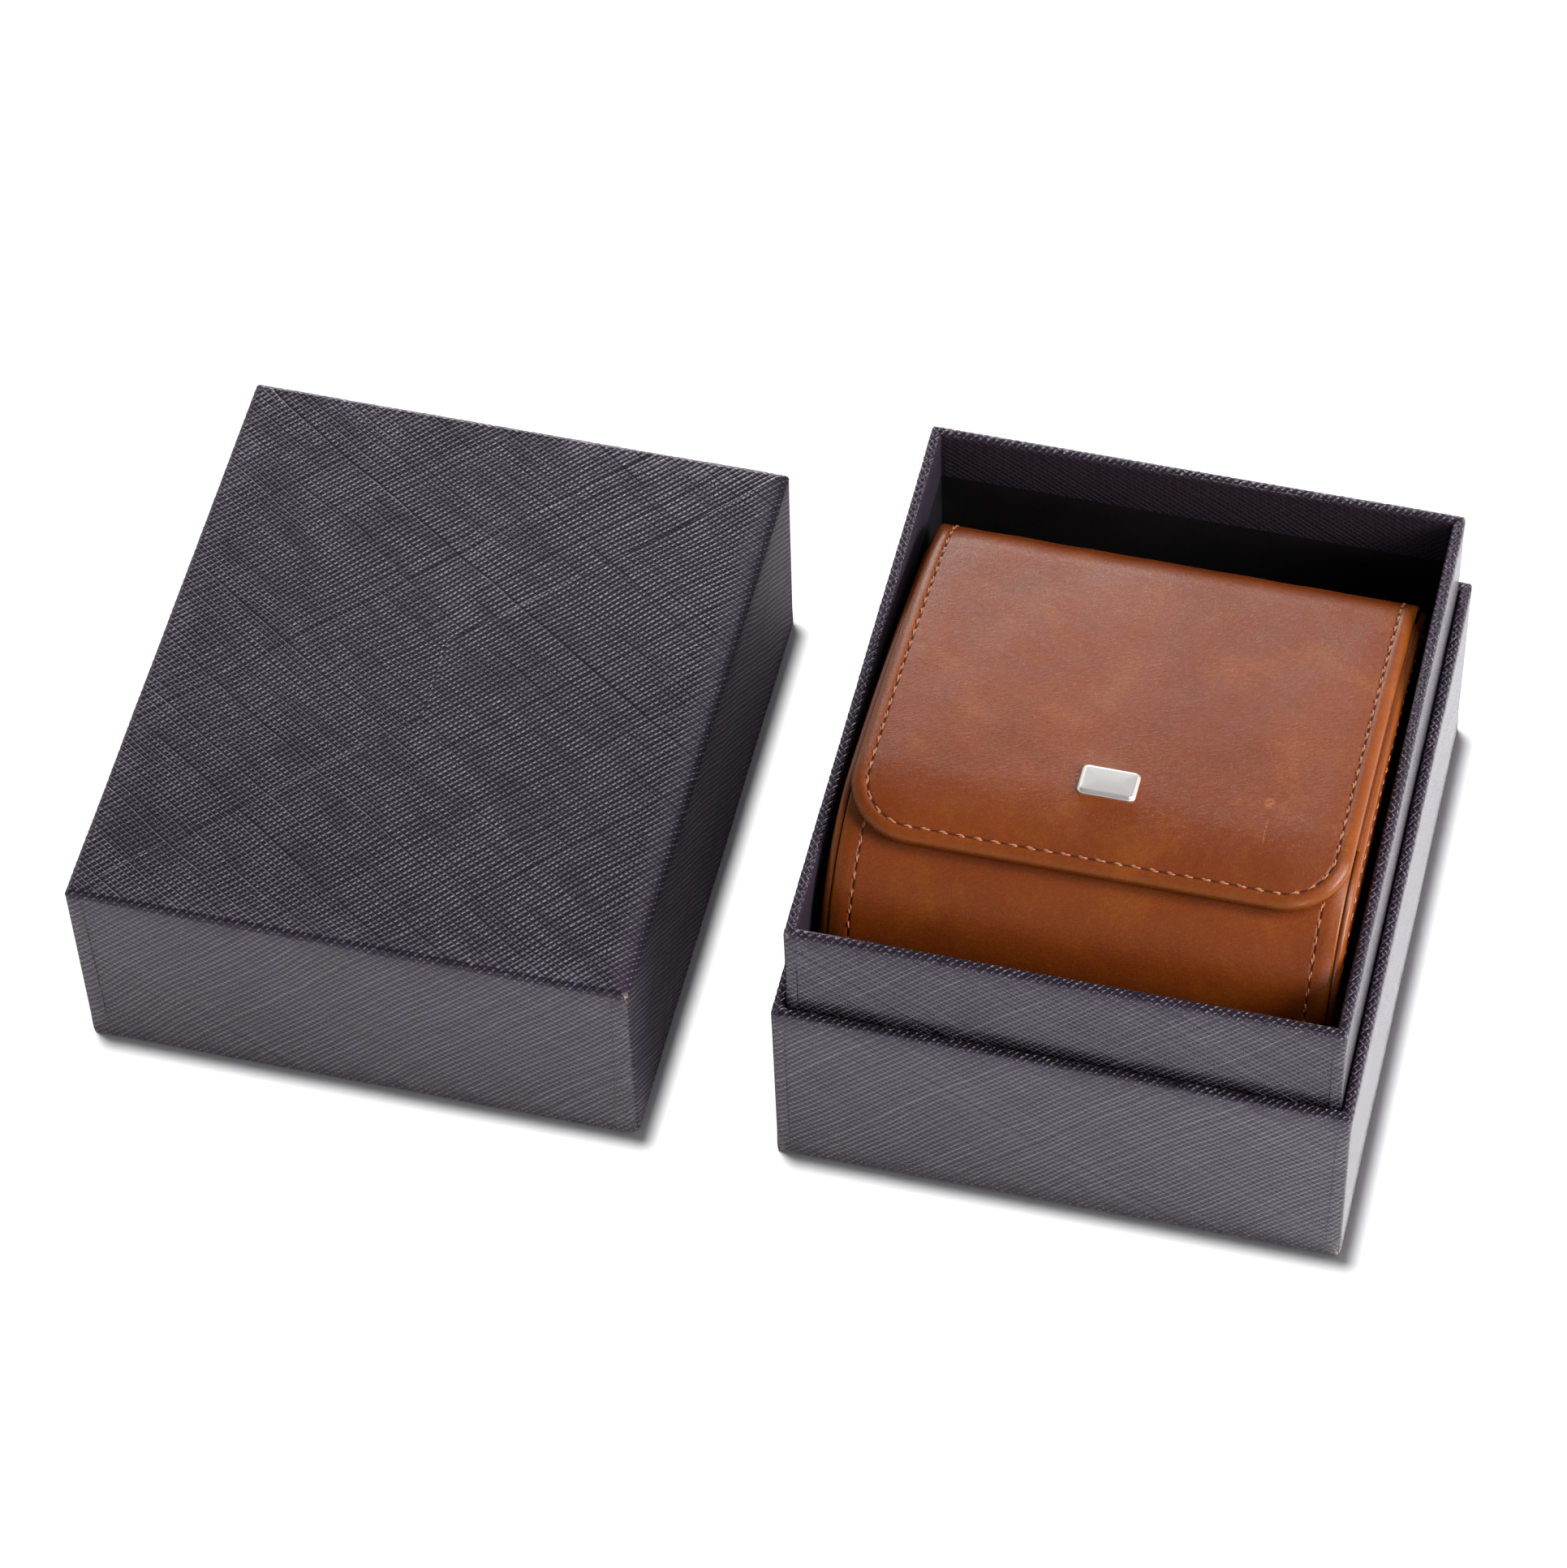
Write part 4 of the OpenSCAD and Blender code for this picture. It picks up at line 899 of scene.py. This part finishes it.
def case_wrap_piece():
    """The hide round the case, from its lip down the front, under it and up the back to the flap."""
    x, e = across(SHELL_HALF, (FLAP_SEAM, WRAP_SEAM))
    gt, ge = np.meshgrid(BODY_T, e, indexing="ij")
    gx = np.broadcast_to(x, gt.shape)
    roll = 0.6 * rolled(ge, 0.6)
    back = smooth(FRONT_T + FRONT_SEAM_END - 2, FRONT_T + FRONT_SEAM_END + 8, gt)
    groove = bell(ge, WRAP_SEAM, 0.18) * (1 - back) + bell(ge, FLAP_SEAM, 0.18) * back
    crown = 0.48 * np.clip(1 - ge / WRAP_SEAM, 0, 1) ** 1.6
    outer = roll + crown + SEAM_DEPTH * groove - 0.12 * bell(ge, 2.2, 1.2)
    outer = outer - 0.35 * bell(gt, 62, 24) * smooth(4.4, 14, ge) * np.clip(ge / 30, 0, 1)
    outer = outer + 0.10 * waves(gx, gt, 30, 13) * smooth(4.5, 12, ge)
    outer[-1] = flap_outer(x, BACK_S, e)
    lip_outer, lip_inner, lip_t = lip(roll[0])
    yz_outer = np.concatenate([lip_outer, np.stack(on_path(BODY, outer), -1)])
    yz_inner = np.concatenate([lip_inner, np.stack(on_path(BODY, HIDE - roll + crown), -1)])
    rows, cols = yz_outer.shape[:2]
    wide = np.broadcast_to(x, (rows, cols))
    outer_g, inner_g = np.dstack([wide, yz_outer]), np.dstack([wide, yz_inner])
    inner_g[:, 0], inner_g[:, -1] = outer_g[:, 0], outer_g[:, -1]
    n = rows * cols
    faces = grid_faces(rows, cols) + grid_faces(rows, cols, n, flip=True)
    faces += strip(0, cols, n) + strip(n - cols, cols, n)
    # hide coordinates run on from the flap's along the back
    hide_t = BACK_S - (BODY_T[-1] - np.concatenate([lip_t, BODY_T]))
    uv = np.dstack([wide, np.broadcast_to(hide_t[:, None], (rows, cols))]).reshape(-1, 2)
    # Painted shade along the seams' grooves.
    seam = np.zeros((rows, cols))
    seam[len(lip_t):] = groove
    # Burnish and painted highlight along the edges and the lip.
    edge = np.broadcast_to(np.clip(bell(e, 0, 1.1) + 0.3 * bell(e, 1.2, 1.3), 0, 1), (rows, cols))
    at_lip = np.concatenate([np.ones(len(lip_t)), np.exp(-BODY_T / 2.0)])
    edge = np.maximum(edge, 0.6 * at_lip[:, None]).ravel()
    points = np.concatenate([outer_g, inner_g]).reshape(-1, 3)
    obj = build("case_cover", points, faces, LEATHER_MAT, "leather",
                uv=np.concatenate([uv, uv]), edge=np.concatenate([edge, edge * 0.5]),
                groove=0.8 * np.concatenate([seam, 0 * seam]), dark=np.zeros(2 * n))
    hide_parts("case_wrap")
    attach(obj, "travel_case")


case_wrap_piece()

# ---- end panels


def end_loop():
    """Closed outline of an end panel: up the back, over the top just under the flap, and round the front."""
    back = arc(C1, R1, 0, TOP_START)
    back[:, 2] -= END_STEP + DROP * smooth(24, 52, np.degrees(back[:, 3]))
    low = [part.copy() for part in LOWER]
    for part in low:
        flat = part[:, 2] == 0
        part[:, 0] -= END_STEP * np.cos(part[:, 3]) * flat
        part[:, 1] -= END_STEP * np.sin(part[:, 3]) * flat
        part[:, 2] -= END_STEP * ~flat
    under = DROP + END_STEP
    parts = (arc(C2, R2, TOP_START, TOP_END, under), arc(C3, R3, TOP_END, SWELL, under),
             arc(C4, R4, SWELL, 180, END_STEP), *low)
    return joined(back, *parts)[0][:-1]


END = end_loop()
# Rings of an end panel: how far in from its edge, and how far out along X.
END_RINGS = ((0, 49.25), (0, 49.4), (0.06, 49.75), (0.2, 50.08), (0.45, 50.4), (0.8, 50.6), (1.3, 50.72),
             (1.9, 50.75), (2.4, 50.68), (2.7, 50.55), (2.9, 50.38), (3.0, 50.34), (3.1, 50.38), (3.3, 50.52),
             (3.6, 50.62), (4.4, 50.68), (6, 50.72), (9, 50.76), (11, 50.78))


def end_panel(side, name, node):
    """The hide over an end: a rolled edge, a sunk seam and a soft face."""
    layers, uv, looks = [], [], []
    for e, x in END_RINGS:
        y, z = on_path(END, e)
        lump = 0.04 * waves(y, z, 16, 21) * smooth(3.5, 8, e)
        layers.append(np.stack([side * (x + lump), y, z], 1))
        uv.append(np.stack([side * (y + 300), z], 1))
        # Painted light on an end: its rolled edge lighter as a highlight, shade in the seam and in the gap to
        # the wrap, and the face darker further in from the rim.
        looks.append((np.clip(bell(e, 0.2, 1.2) + 0.3 * bell(e, 1.6, 1.2), 0, 1),
                      max(0.8 * bell(e, END_SEAM, 0.16), 0.9 * bell(x, END_RINGS[0][1], 0.35)),
                      0.05 + 0.40 * smooth(4, 14, e)))
    edge, groove, dark = np.repeat(looks, len(END), axis=0).T
    obj = build(name, *stacked(layers), LEATHER_MAT, "leather", uv=np.concatenate(uv), sharp=60,
                edge=edge, groove=groove, dark=dark)
    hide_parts(node)
    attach(obj, "travel_case")


end_panel(-1, "end_cover_left", "end_leather_left")
end_panel(1, "end_cover_right", "end_leather_right")


# The binding's strip: middle and half width along X, middle and half thickness below the flap's face.
BINDING_X, BINDING_W, BINDING_D, BINDING_T = 47.9, 1.85, 3.74, 0.27


def end_binding(side, name):
    """A strip of hide over the top edge of an end board."""
    turn = np.linspace(0, 2 * math.pi, 17)[:-1]
    c, q = np.cos(turn), np.sin(turn)
    x = BINDING_X + BINDING_W * np.sign(c) * np.abs(c) ** 0.35
    d = BINDING_D - BINDING_T * np.sign(q) * np.abs(q) ** 0.6
    layers, uv = [], []
    for s in np.linspace(-9.5, LIP_S, 70):
        layers.append(np.stack([side * x, *top_point(s, d)], 1))
        uv.append(np.stack([side * (x + 120), np.full(len(x), s)], 1))
    points, faces = stacked(layers)
    # Painted shade: the binding is darker all over, under the flap's edge; it also takes half the edges'
    # burnish and painted highlight.
    obj = build(name, points, faces, LEATHER_MAT, "leather", uv=np.concatenate(uv), sharp=60,
                edge=np.full(len(points), 0.5), groove=np.zeros(len(points)), dark=np.full(len(points), 0.4))
    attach(obj, "travel_case")


end_binding(-1, "end_binding_left")
end_binding(1, "end_binding_right")

# ---- cradle inside the case

CAVITY_HALF, CAVITY_Y0, CAVITY_Y1, CAVITY_Z, CAVITY_R = 42.8, -25.08, 38.3, 18.4, 8.0
CAVITY_FOOT = CAVITY_Z + 1.6
# The cradle's rim lies this far below the flap's face, and its outside ends at these X and Y.
RIM_UNDER, CRADLE_X, CRADLE_Y = 6.85, 46.1, (-26.4, 46.2)
# Rings of the cradle: how far out from the cavity's wall, which part, and the height in that part.
CRADLE_RINGS = (
    *((out, "floor", z) for out, z in ((-14, 0), (-4, 0), (-1.5, 0), (-0.9, 0.15), (-0.35, 0.6), (0, 1.6))),
    *((0.06 * math.sin(v * 3), "wall", v) for v in np.linspace(0.04, 0.92, 12)),
    *((out, "top", z) for out, z in ((0.0, -2.0), (0.12, -1.3), (0.45, -0.65), (1.0, -0.2), (1.7, 0.0),
                                     (2.6, 0.02), (3.3, -0.1), (8.0, -0.2), (9.0, -3.0))),
    (9.0, "bottom", 16.0))


def cradle():
    """The case's padded lining: a round-edged well for the cushion, with a rim just under the flap."""
    top_y, top_z = top_point(np.linspace(LIP_S + 6, -10.2, 60), RIM_UNDER)
    roof_y, roof_z = np.append(top_y, (44.0, 46.4)), np.append(top_z, (59.8, 59.3))
    order = np.argsort(roof_y)
    w, d = 2 * CAVITY_HALF, CAVITY_Y1 - CAVITY_Y0
    stations = loop_stations(w, d, 2.2, 10)
    layers = []
    for out, part, level in CRADLE_RINGS:
        x, y = round_ring(stations, w, d, -out, CAVITY_R + out)
        x, y = np.clip(x, -CRADLE_X, CRADLE_X), np.clip(y + (CAVITY_Y0 + CAVITY_Y1) / 2, *CRADLE_Y)
        roof = np.interp(y, roof_y[order], roof_z[order])
        z = {"floor": CAVITY_Z + level + 0 * x, "wall": CAVITY_FOOT + (roof - 2.0 - CAVITY_FOOT) * level,
             "top": roof + level, "bottom": level + 0 * x}[part]
        if part == "wall":
            push = 0.10 * waves(x + y, z, 18, 31)
            x, y = x + stations[:, 2] * push, y + stations[:, 3] * push
        layers.append(np.stack([x, y, z], 1))
    obj = build("cradle_cover", *stacked(layers), SUEDE_MAT, "suede", sharp=50)
    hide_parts("cradle_suede", "cradle_foam")
    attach(obj, "travel_case")


cradle()

# ---- watch cushion

# Half sizes along X, Y and Z, the middle, and how far the seams lie in from the ends.
CUSHION_HALF, CUSHION_AT, CUSHION_SEAM = (39.3, 28.0, 23.5), (0, 6.776, 42.2), 9.0
# Its section's points, how far that is from a circle to a square, and the folds round each seam.
SECTION, SQUARE, GATHERS = 120, 2.6, 34


def cushion():
    """A firm pillow with an oval section, gathered at a seam near each end."""
    half_x, half_y, half_z = CUSHION_HALF
    steps = (-1.6, -0.9, -0.45, -0.2, 0, 0.2, 0.45, 0.9, 1.6)
    at_seams = [side * (half_x - CUSHION_SEAM + k) for side in (-1, 1) for k in steps]
    spread = half_x * np.sin(np.radians(np.linspace(-90, 90, 61)))
    turn = np.linspace(0, 2 * math.pi, SECTION, endpoint=False)
    c, s = np.cos(turn), np.sin(turn)
    oval_y, oval_z = (np.sign(v) * np.abs(v) ** (2 / SQUARE) for v in (c, s))
    layers = []
    for x in np.unique(np.round(np.concatenate([spread, at_seams]), 4)):
        t = abs(x) / half_x
        from_seam = abs(x) - half_x + CUSHION_SEAM
        swell = 1.0 * (1 - t ** 2) - 3.0 * t ** 4 - 1.1 * bell(from_seam, 0, 0.9) - 1.2
        near_seam = bell(from_seam, 1.6, 1.6) + bell(from_seam, -1.6, 1.6)
        gather = 0.22 * near_seam * np.sin(turn * GATHERS + 1.7 * np.sin(turn * 3))
        close = max(0.0, (t - 0.955) / 0.045)
        scale = 0.30 + 0.70 * math.sqrt(max(1 - close ** 2, 0.0))
        dent = 0.3 * waves(x, turn * 22, 20, 41)
        y, z = (half_y + swell + gather) * oval_y + dent * c, (half_z + swell + gather) * oval_z + dent * s
        layers.append(np.stack([np.full(len(turn), x), y * scale, z * scale], 1) + CUSHION_AT)
    obj = build("watch_cushion", *stacked(layers), CUSHION_MAT, "suede")
    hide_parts("cushion_core", "cushion_cover", "cushion_end_caps")
    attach(obj, "cushion")


cushion()

# ---- floor pad of the box


def floor_pad():
    """The papered pad in the bottom of the box."""
    w, d = BOX_W - 2 * NECK_INNER, BOX_D - 2 * NECK_INNER
    stations = loop_stations(w, d, 4.0)
    layers = []
    for inset, z in ((0.3, 2.32), (0.12, 2.5), (0.05, 3.2), (0.05, 4.2), (0.25, 4.8), (0.7, 5.1), (1.6, 5.19),
                     (8, 5.2), (30, 5.2)):
        x, y = round_ring(stations, w, d, inset, max(1.5 - inset, 0.2))
        dent = 0.03 * (z > 5.15)
        layers.append(np.stack([x, y, z - dent * np.abs(waves(x, y, 25, 5))], 1))
    obj = build("floor_pad", *stacked(layers), LINING_MAT, "inner_paper", sharp=50)
    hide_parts("floor_foam", "floor_paper")
    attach(obj, "base")


floor_pad()

# ---- thread

# A stitch: length, height, each ply's radius and way out from the middle, and the ply's mesh.
STITCH_L, STITCH_H, PLY_R, PLY_OUT, SEGMENTS, SIDES = 2.5, 0.18, 0.185, 0.15, 11, 6
# Rings of a needle hole: radius and height.
HOLE_RINGS = ((0.30, 0.01), (0.22, 0.03), (0.0, 0.04), (0.30, -0.25))


def stitch_mesh(centres, tangents, normals):
    """Two plies twisted round each other, dipping into the needle holes at both ends."""
    pts, faces = [], []
    for c, t, u in zip(centres, tangents, normals):
        skew = math.radians(rng.uniform(4, 11))
        way = t * math.cos(skew) + np.cross(t, u) * math.sin(skew)
        across_way = np.cross(way, u)
        length = STITCH_L * rng.uniform(0.88, 1.06)
        height = STITCH_H + rng.uniform(-0.03, 0.05)
        spin = rng.uniform(0, 6.28)
        for ply in (0, math.pi):
            start = len(pts)
            for q in np.linspace(-1, 1, SEGMENTS):
                a = spin + ply + q * 2.6
                middle = c + way * (q * length / 2) + u * (height - 0.62 * abs(q) ** 3.2)
                middle = middle + (u * math.sin(a) + across_way * math.cos(a)) * PLY_OUT
                r = PLY_R * (1 - 0.45 * abs(q) ** 5)
                for g in np.arange(SIDES) * 2 * math.pi / SIDES:
                    pts.append(middle + (u * math.sin(g) + across_way * math.cos(g)) * r)
            faces += grid_faces(SEGMENTS, SIDES, start, closed_cols=True)
            faces.append(tuple(start + w for w in range(SIDES))[::-1])
            faces.append(tuple(start + (SEGMENTS - 1) * SIDES + w for w in range(SIDES)))
    return pts, faces


def hole_mesh(centres, tangents, normals):
    """Shallow dimples where the needle went through, painted dark as the holes' shade."""
    pts, faces = [], []
    for c, t, u in zip(centres, tangents, normals):
        b = np.cross(t, u)
        start = len(pts)
        for r, h in HOLE_RINGS:
            for g in np.arange(8) * 2 * math.pi / 8:
                pts.append(c + t * math.cos(g) * r * 1.25 + b * math.sin(g) * r + u * h)
        for k, k2 in ((3, 0), (0, 1)):
            for w in range(8):
                w2 = (w + 1) % 8
                faces.append(tuple(start + i for i in (k * 8 + w, k * 8 + w2, k2 * 8 + w2, k2 * 8 + w)))
        faces.append(tuple(start + 8 + w for w in range(8)))
        faces.append(tuple(start + 24 + w for w in range(8))[::-1])
    return pts, faces


def even(points, normals, pitch):
    """Centres, tangents and normals at even spacing along a polyline, and the same half-way between."""
    run = np.concatenate([[0], np.cumsum(np.linalg.norm(np.diff(points, axis=0), axis=1))])
    count = int(run[-1] // pitch)
    slack = (run[-1] - count * pitch) / 2

    def along(t, table):
        return np.stack([np.interp(t, run, column) for column in table.T], 1)

    def unit(v):
        return v / np.linalg.norm(v, axis=1)[:, None]

    def at(t):
        tangent = unit(along(t + 0.4, points) - along(t - 0.4, points))
        normal = along(t, normals)
        return along(t, points), tangent, unit(normal - tangent * np.sum(normal * tangent, axis=1)[:, None])

    return at(slack + pitch * (np.arange(count) + 0.5)), at(slack + pitch * np.arange(count + 1))


def sewn(name, lines, node, body=None):
    """Stitches, and the needle holes between them, along lines of points with their normals."""
    pieces = []
    kinds = (("stitches", stitch_mesh, THREAD_MAT), ("needle_holes", hole_mesh, HOLE_MAT))
    for which, (label, maker, material) in enumerate(kinds):
        points, faces = [], []
        for line, normals in lines:
            p, f = maker(*even(line, normals, STITCH_PITCH)[which])
            faces += [tuple(i + len(points) for i in face) for face in f]
            points += p
        pieces.append(build(f"{name}_{label}", points, faces, material, "thread", weld=False))
    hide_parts(node)
    if body:
        for o in pieces:
            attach(o, body)
    return pieces


def flap_seam_line():
    """The seam along the flap's three free edges."""
    side_s = np.linspace(BACK_S + 1.2, FLAP_END_S - FLAP_CORNER, 160)
    x, s = flap_outline(FLAP_SEAM, side_s, 90, quarter(24))
    y, z = top_point(s, flap_outer(x, s, FLAP_SEAM + 0 * x) - 0.04)
    a = np.radians(top_deg(s))
    return np.stack([x, y, z], 1), np.stack([0 * a, np.cos(a), np.sin(a)], 1)


def wrap_seam_lines():
    """The seams along both edges of the wrap: below the front, and up the back to the flap."""
    front, rear = (BODY_T > 7) & (BODY_T < FRONT_T + FRONT_SEAM_END), BODY_T > FRONT_T + BACK_SEAM_START
    for side in (-1, 1):
        for where, e in ((front, WRAP_SEAM), (rear, FLAP_SEAM)):
            p = BODY[where]
            y, z = on_path(p, SEAM_DEPTH)
            a = p[:, 3]
            line = np.stack([0 * a + side * (SHELL_HALF - e), y, z], 1)
            yield line, np.stack([0 * a, np.cos(a), np.sin(a)], 1)


def end_seam_lines():
    """The closed seams round both ends."""
    for side in (-1, 1):
        p = np.append(END, END[:1], axis=0)
        y, z = on_path(p, END_SEAM)
        yield np.stack([np.full(len(y), side * 50.38), y, z], 1), np.tile([side, 0.0, 0.0], (len(y), 1))


flap_thread = sewn("flap", [flap_seam_line()], "flap_stitches")
sewn("case", list(wrap_seam_lines()), "wrap_stitches", "travel_case")
sewn("end", list(end_seam_lines()), "end_stitches", "travel_case")

for piece in (flap_cover, flap_suede, *flap_thread):
    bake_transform(piece)

# ---- plain badge

BADGE_W, BADGE_D = 11.5, 7.5
# Rings of the plate: how far in from its edge, and height.
BADGE_RINGS = ((0.25, -0.35), (0.0, -0.2), (0.0, 0.30), (0.05, 0.38), (0.62, 0.77), (0.72, 0.80),
               (0.9, 0.805), (2.4, 0.84), (3.5, 0.85))


def badge():
    """A plain polished plate with a chamfered rim and a slightly domed face."""
    stations = loop_stations(BADGE_W, BADGE_D, 0.8, 8)
    a = math.radians(float(top_deg(BADGE_S)) - 90)
    c, s = math.cos(a), math.sin(a)
    y0, z0 = top_point(BADGE_S, -0.55)
    layers = []
    for inset, h in BADGE_RINGS:
        x, y = round_ring(stations, BADGE_W, BADGE_D, inset, max(1.3 - inset, 0.25))
        layers.append(np.stack([x, y0 + y * c - h * s, z0 + y * s + h * c], 1))
    obj = build("badge_face", *stacked(layers), BADGE_MAT, "badge_metal", sharp=25)
    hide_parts("badge_plate")
    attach(obj, "flap")


badge()

# ---- materials of the carried-over parts

# All other nodes are lining paper.
CARRIED = {
    "base_board": BOARD_MAT, "neck_board": BOARD_MAT, "case_board": BOARD_MAT, "flap_board": BOARD_MAT,
    "end_board_left": BOARD_MAT, "end_board_right": BOARD_MAT, "base_bottom_paper": BOTTOM_MAT,
    "base_corner_stays": STAY_MAT, "case_lining": SUEDE_MAT, "end_lining_left": SUEDE_MAT,
    "end_lining_right": SUEDE_MAT, "case_magnet": STEEL_MAT, "flap_magnet": STEEL_MAT,
    "badge_washer": STEEL_MAT,
}
for node, o in frame["nodes"].items():
    o.data.materials.clear()
    o.data.materials.append(CARRIED.get(node, LINING_MAT))

# ---- floor, light and camera


FLOOR_TONE, FLOOR_HALF = 0.90, 3
# The dim room's strength, and the sines of the angles between which the low backdrop ends.
ROOM, BACKDROP_END = 0.21, (0.24, 0.72)


def floor(name, z, to_camera):
    """A pale floor. One copy is seen by the camera, the other lights the part and shows in its gloss."""
    me = bpy.data.meshes.new(name)
    corners = ((-1, -1), (1, -1), (1, 1), (-1, 1))
    me.from_pydata([(x * FLOOR_HALF, y * FLOOR_HALF, z) for x, y in corners], [], [(0, 1, 2, 3)])
    obj = linked(name, me)
    mat = bpy.data.materials.new(name)
    nodes = Nodes(mat)
    diffuse = nodes.node("ShaderNodeBsdfDiffuse", {"Color": (FLOOR_TONE,) * 3})
    nodes.node("ShaderNodeOutputMaterial", {"Surface": diffuse.outputs[0]})
    me.materials.append(mat)
    obj.visible_camera = to_camera
    obj.visible_diffuse = obj.visible_glossy = obj.visible_transmission = obj.visible_shadow = not to_camera
    return obj


SHOWN = floor("studio_floor", -0.00006, True)
floor("studio_bounce", -0.00010, False)


def world():
    """White to the camera. Gloss sees that white as a low backdrop, and a dim room above it."""
    w = bpy.data.worlds.new("studio")
    bpy.context.scene.world = w
    n = Nodes(w)
    way = n.node("ShaderNodeTexCoord").outputs["Generated"]
    height = n.node("ShaderNodeSeparateXYZ", {0: way}).outputs[2]
    ray = n.node("ShaderNodeLightPath").outputs
    gloss = n.math("MAXIMUM", ray["Is Glossy Ray"], ray["Is Transmission Ray"])
    white = n.math("MAXIMUM", ray["Is Camera Ray"], n.mul(gloss, n.fit(height, *BACKDROP_END, 1.0, 0.0)))
    room = n.node("ShaderNodeBackground", {"Color": (0.95, 0.97, 1.0), "Strength": ROOM})
    seen = n.node("ShaderNodeBackground", {"Color": (1, 1, 1), "Strength": 1.0})
    mixed = n.node("ShaderNodeMixShader", {0: white, 1: room.outputs[0], 2: seen.outputs[0]})
    n.node("ShaderNodeOutputWorld", {"Surface": mixed.outputs[0]})


world()


def polar(azimuth, elevation, distance):
    a, e = math.radians(azimuth), math.radians(elevation)
    return Vector((math.sin(a) * math.cos(e), math.cos(a) * math.cos(e), math.sin(e))) * distance


def facing(way):
    """Rotation of a lamp that shines that way."""
    return way.to_track_quat("-Z", "Y").to_euler()


def softbox(name, place, aim, size, watts):
    light = bpy.data.lights.new(name, "AREA")
    light.shape = "RECTANGLE"
    light.size, light.size_y = size
    light.energy = watts
    obj = linked(name, light)
    obj.location = polar(*place)
    obj.rotation_euler = facing(Vector(aim) - polar(*place))
    return obj


# Lamps: azimuth, elevation and distance, the point aimed at, size in metres, and watts.
LAMPS = [
    softbox("key_right", (97, 34, 1.1), (-0.02, 0, 0.03), (0.70, 0.42), 15),
    softbox("back_low", (-18, 14.5, 1.6), (-0.03, 0, 0.05), (0.72, 0.24), 11),
    softbox("overhead", (78, 64, 1.4), (-0.02, 0, 0), (0.40, 0.40), 6.5),
    softbox("front_right", (157, 24, 1.3), (-0.02, 0, 0.03), (0.22, 0.50), 2.2),
]


def floor_sun():
    """A high small light for the shown floor alone, which gives it a narrow shadow."""
    light = bpy.data.lights.new("floor_sun", "SUN")
    light.energy, light.angle = 3.7, math.radians(5.0)
    obj = linked("floor_sun", light)
    obj.rotation_euler = facing(-polar(-50, 85.3, 1))
    shown, rest = bpy.data.collections.new("shown_floor"), bpy.data.collections.new("all_but_shown_floor")
    for o in bpy.context.scene.objects:
        if o.type == "MESH":
            (shown if o == SHOWN else rest).objects.link(o)
    obj.light_linking.receiver_collection = shown
    for lamp in LAMPS:
        lamp.light_linking.receiver_collection = rest


floor_sun()

# The camera, fitted to the corners of the box and lid in the photograph: angles, aim, distance and lens.
AZ, EL, ROLL = 13.525, 54.072, -0.740
TARGET, DIST = Vector((-0.0484, 0.0122, 0.0)), 1.2974
LENS, SENSOR, SHIFT = 143.28, 36.0, (-0.0801, 0.0392)


def camera():
    a, e, r = math.radians(AZ), math.radians(EL), math.radians(ROLL)
    back = Vector((math.sin(a) * math.cos(e), -math.cos(a) * math.cos(e), math.sin(e)))
    level = Vector((0, 0, 1)).cross(back).normalized()
    up = back.cross(level)
    cam = bpy.data.cameras.new("camera")
    cam.lens, cam.sensor_width = LENS, SENSOR
    cam.shift_x, cam.shift_y = SHIFT
    cam.clip_start, cam.clip_end = 0.05, 20
    obj = linked("camera", cam)
    axes = (level * math.cos(r) + up * math.sin(r), up * math.cos(r) - level * math.sin(r), back)
    m = Matrix(axes).transposed().to_4x4()
    m.translation = TARGET + back * DIST
    obj.matrix_world = m
    bpy.context.scene.camera = obj


camera()
bpy.context.scene.view_settings.view_transform = "Standard"
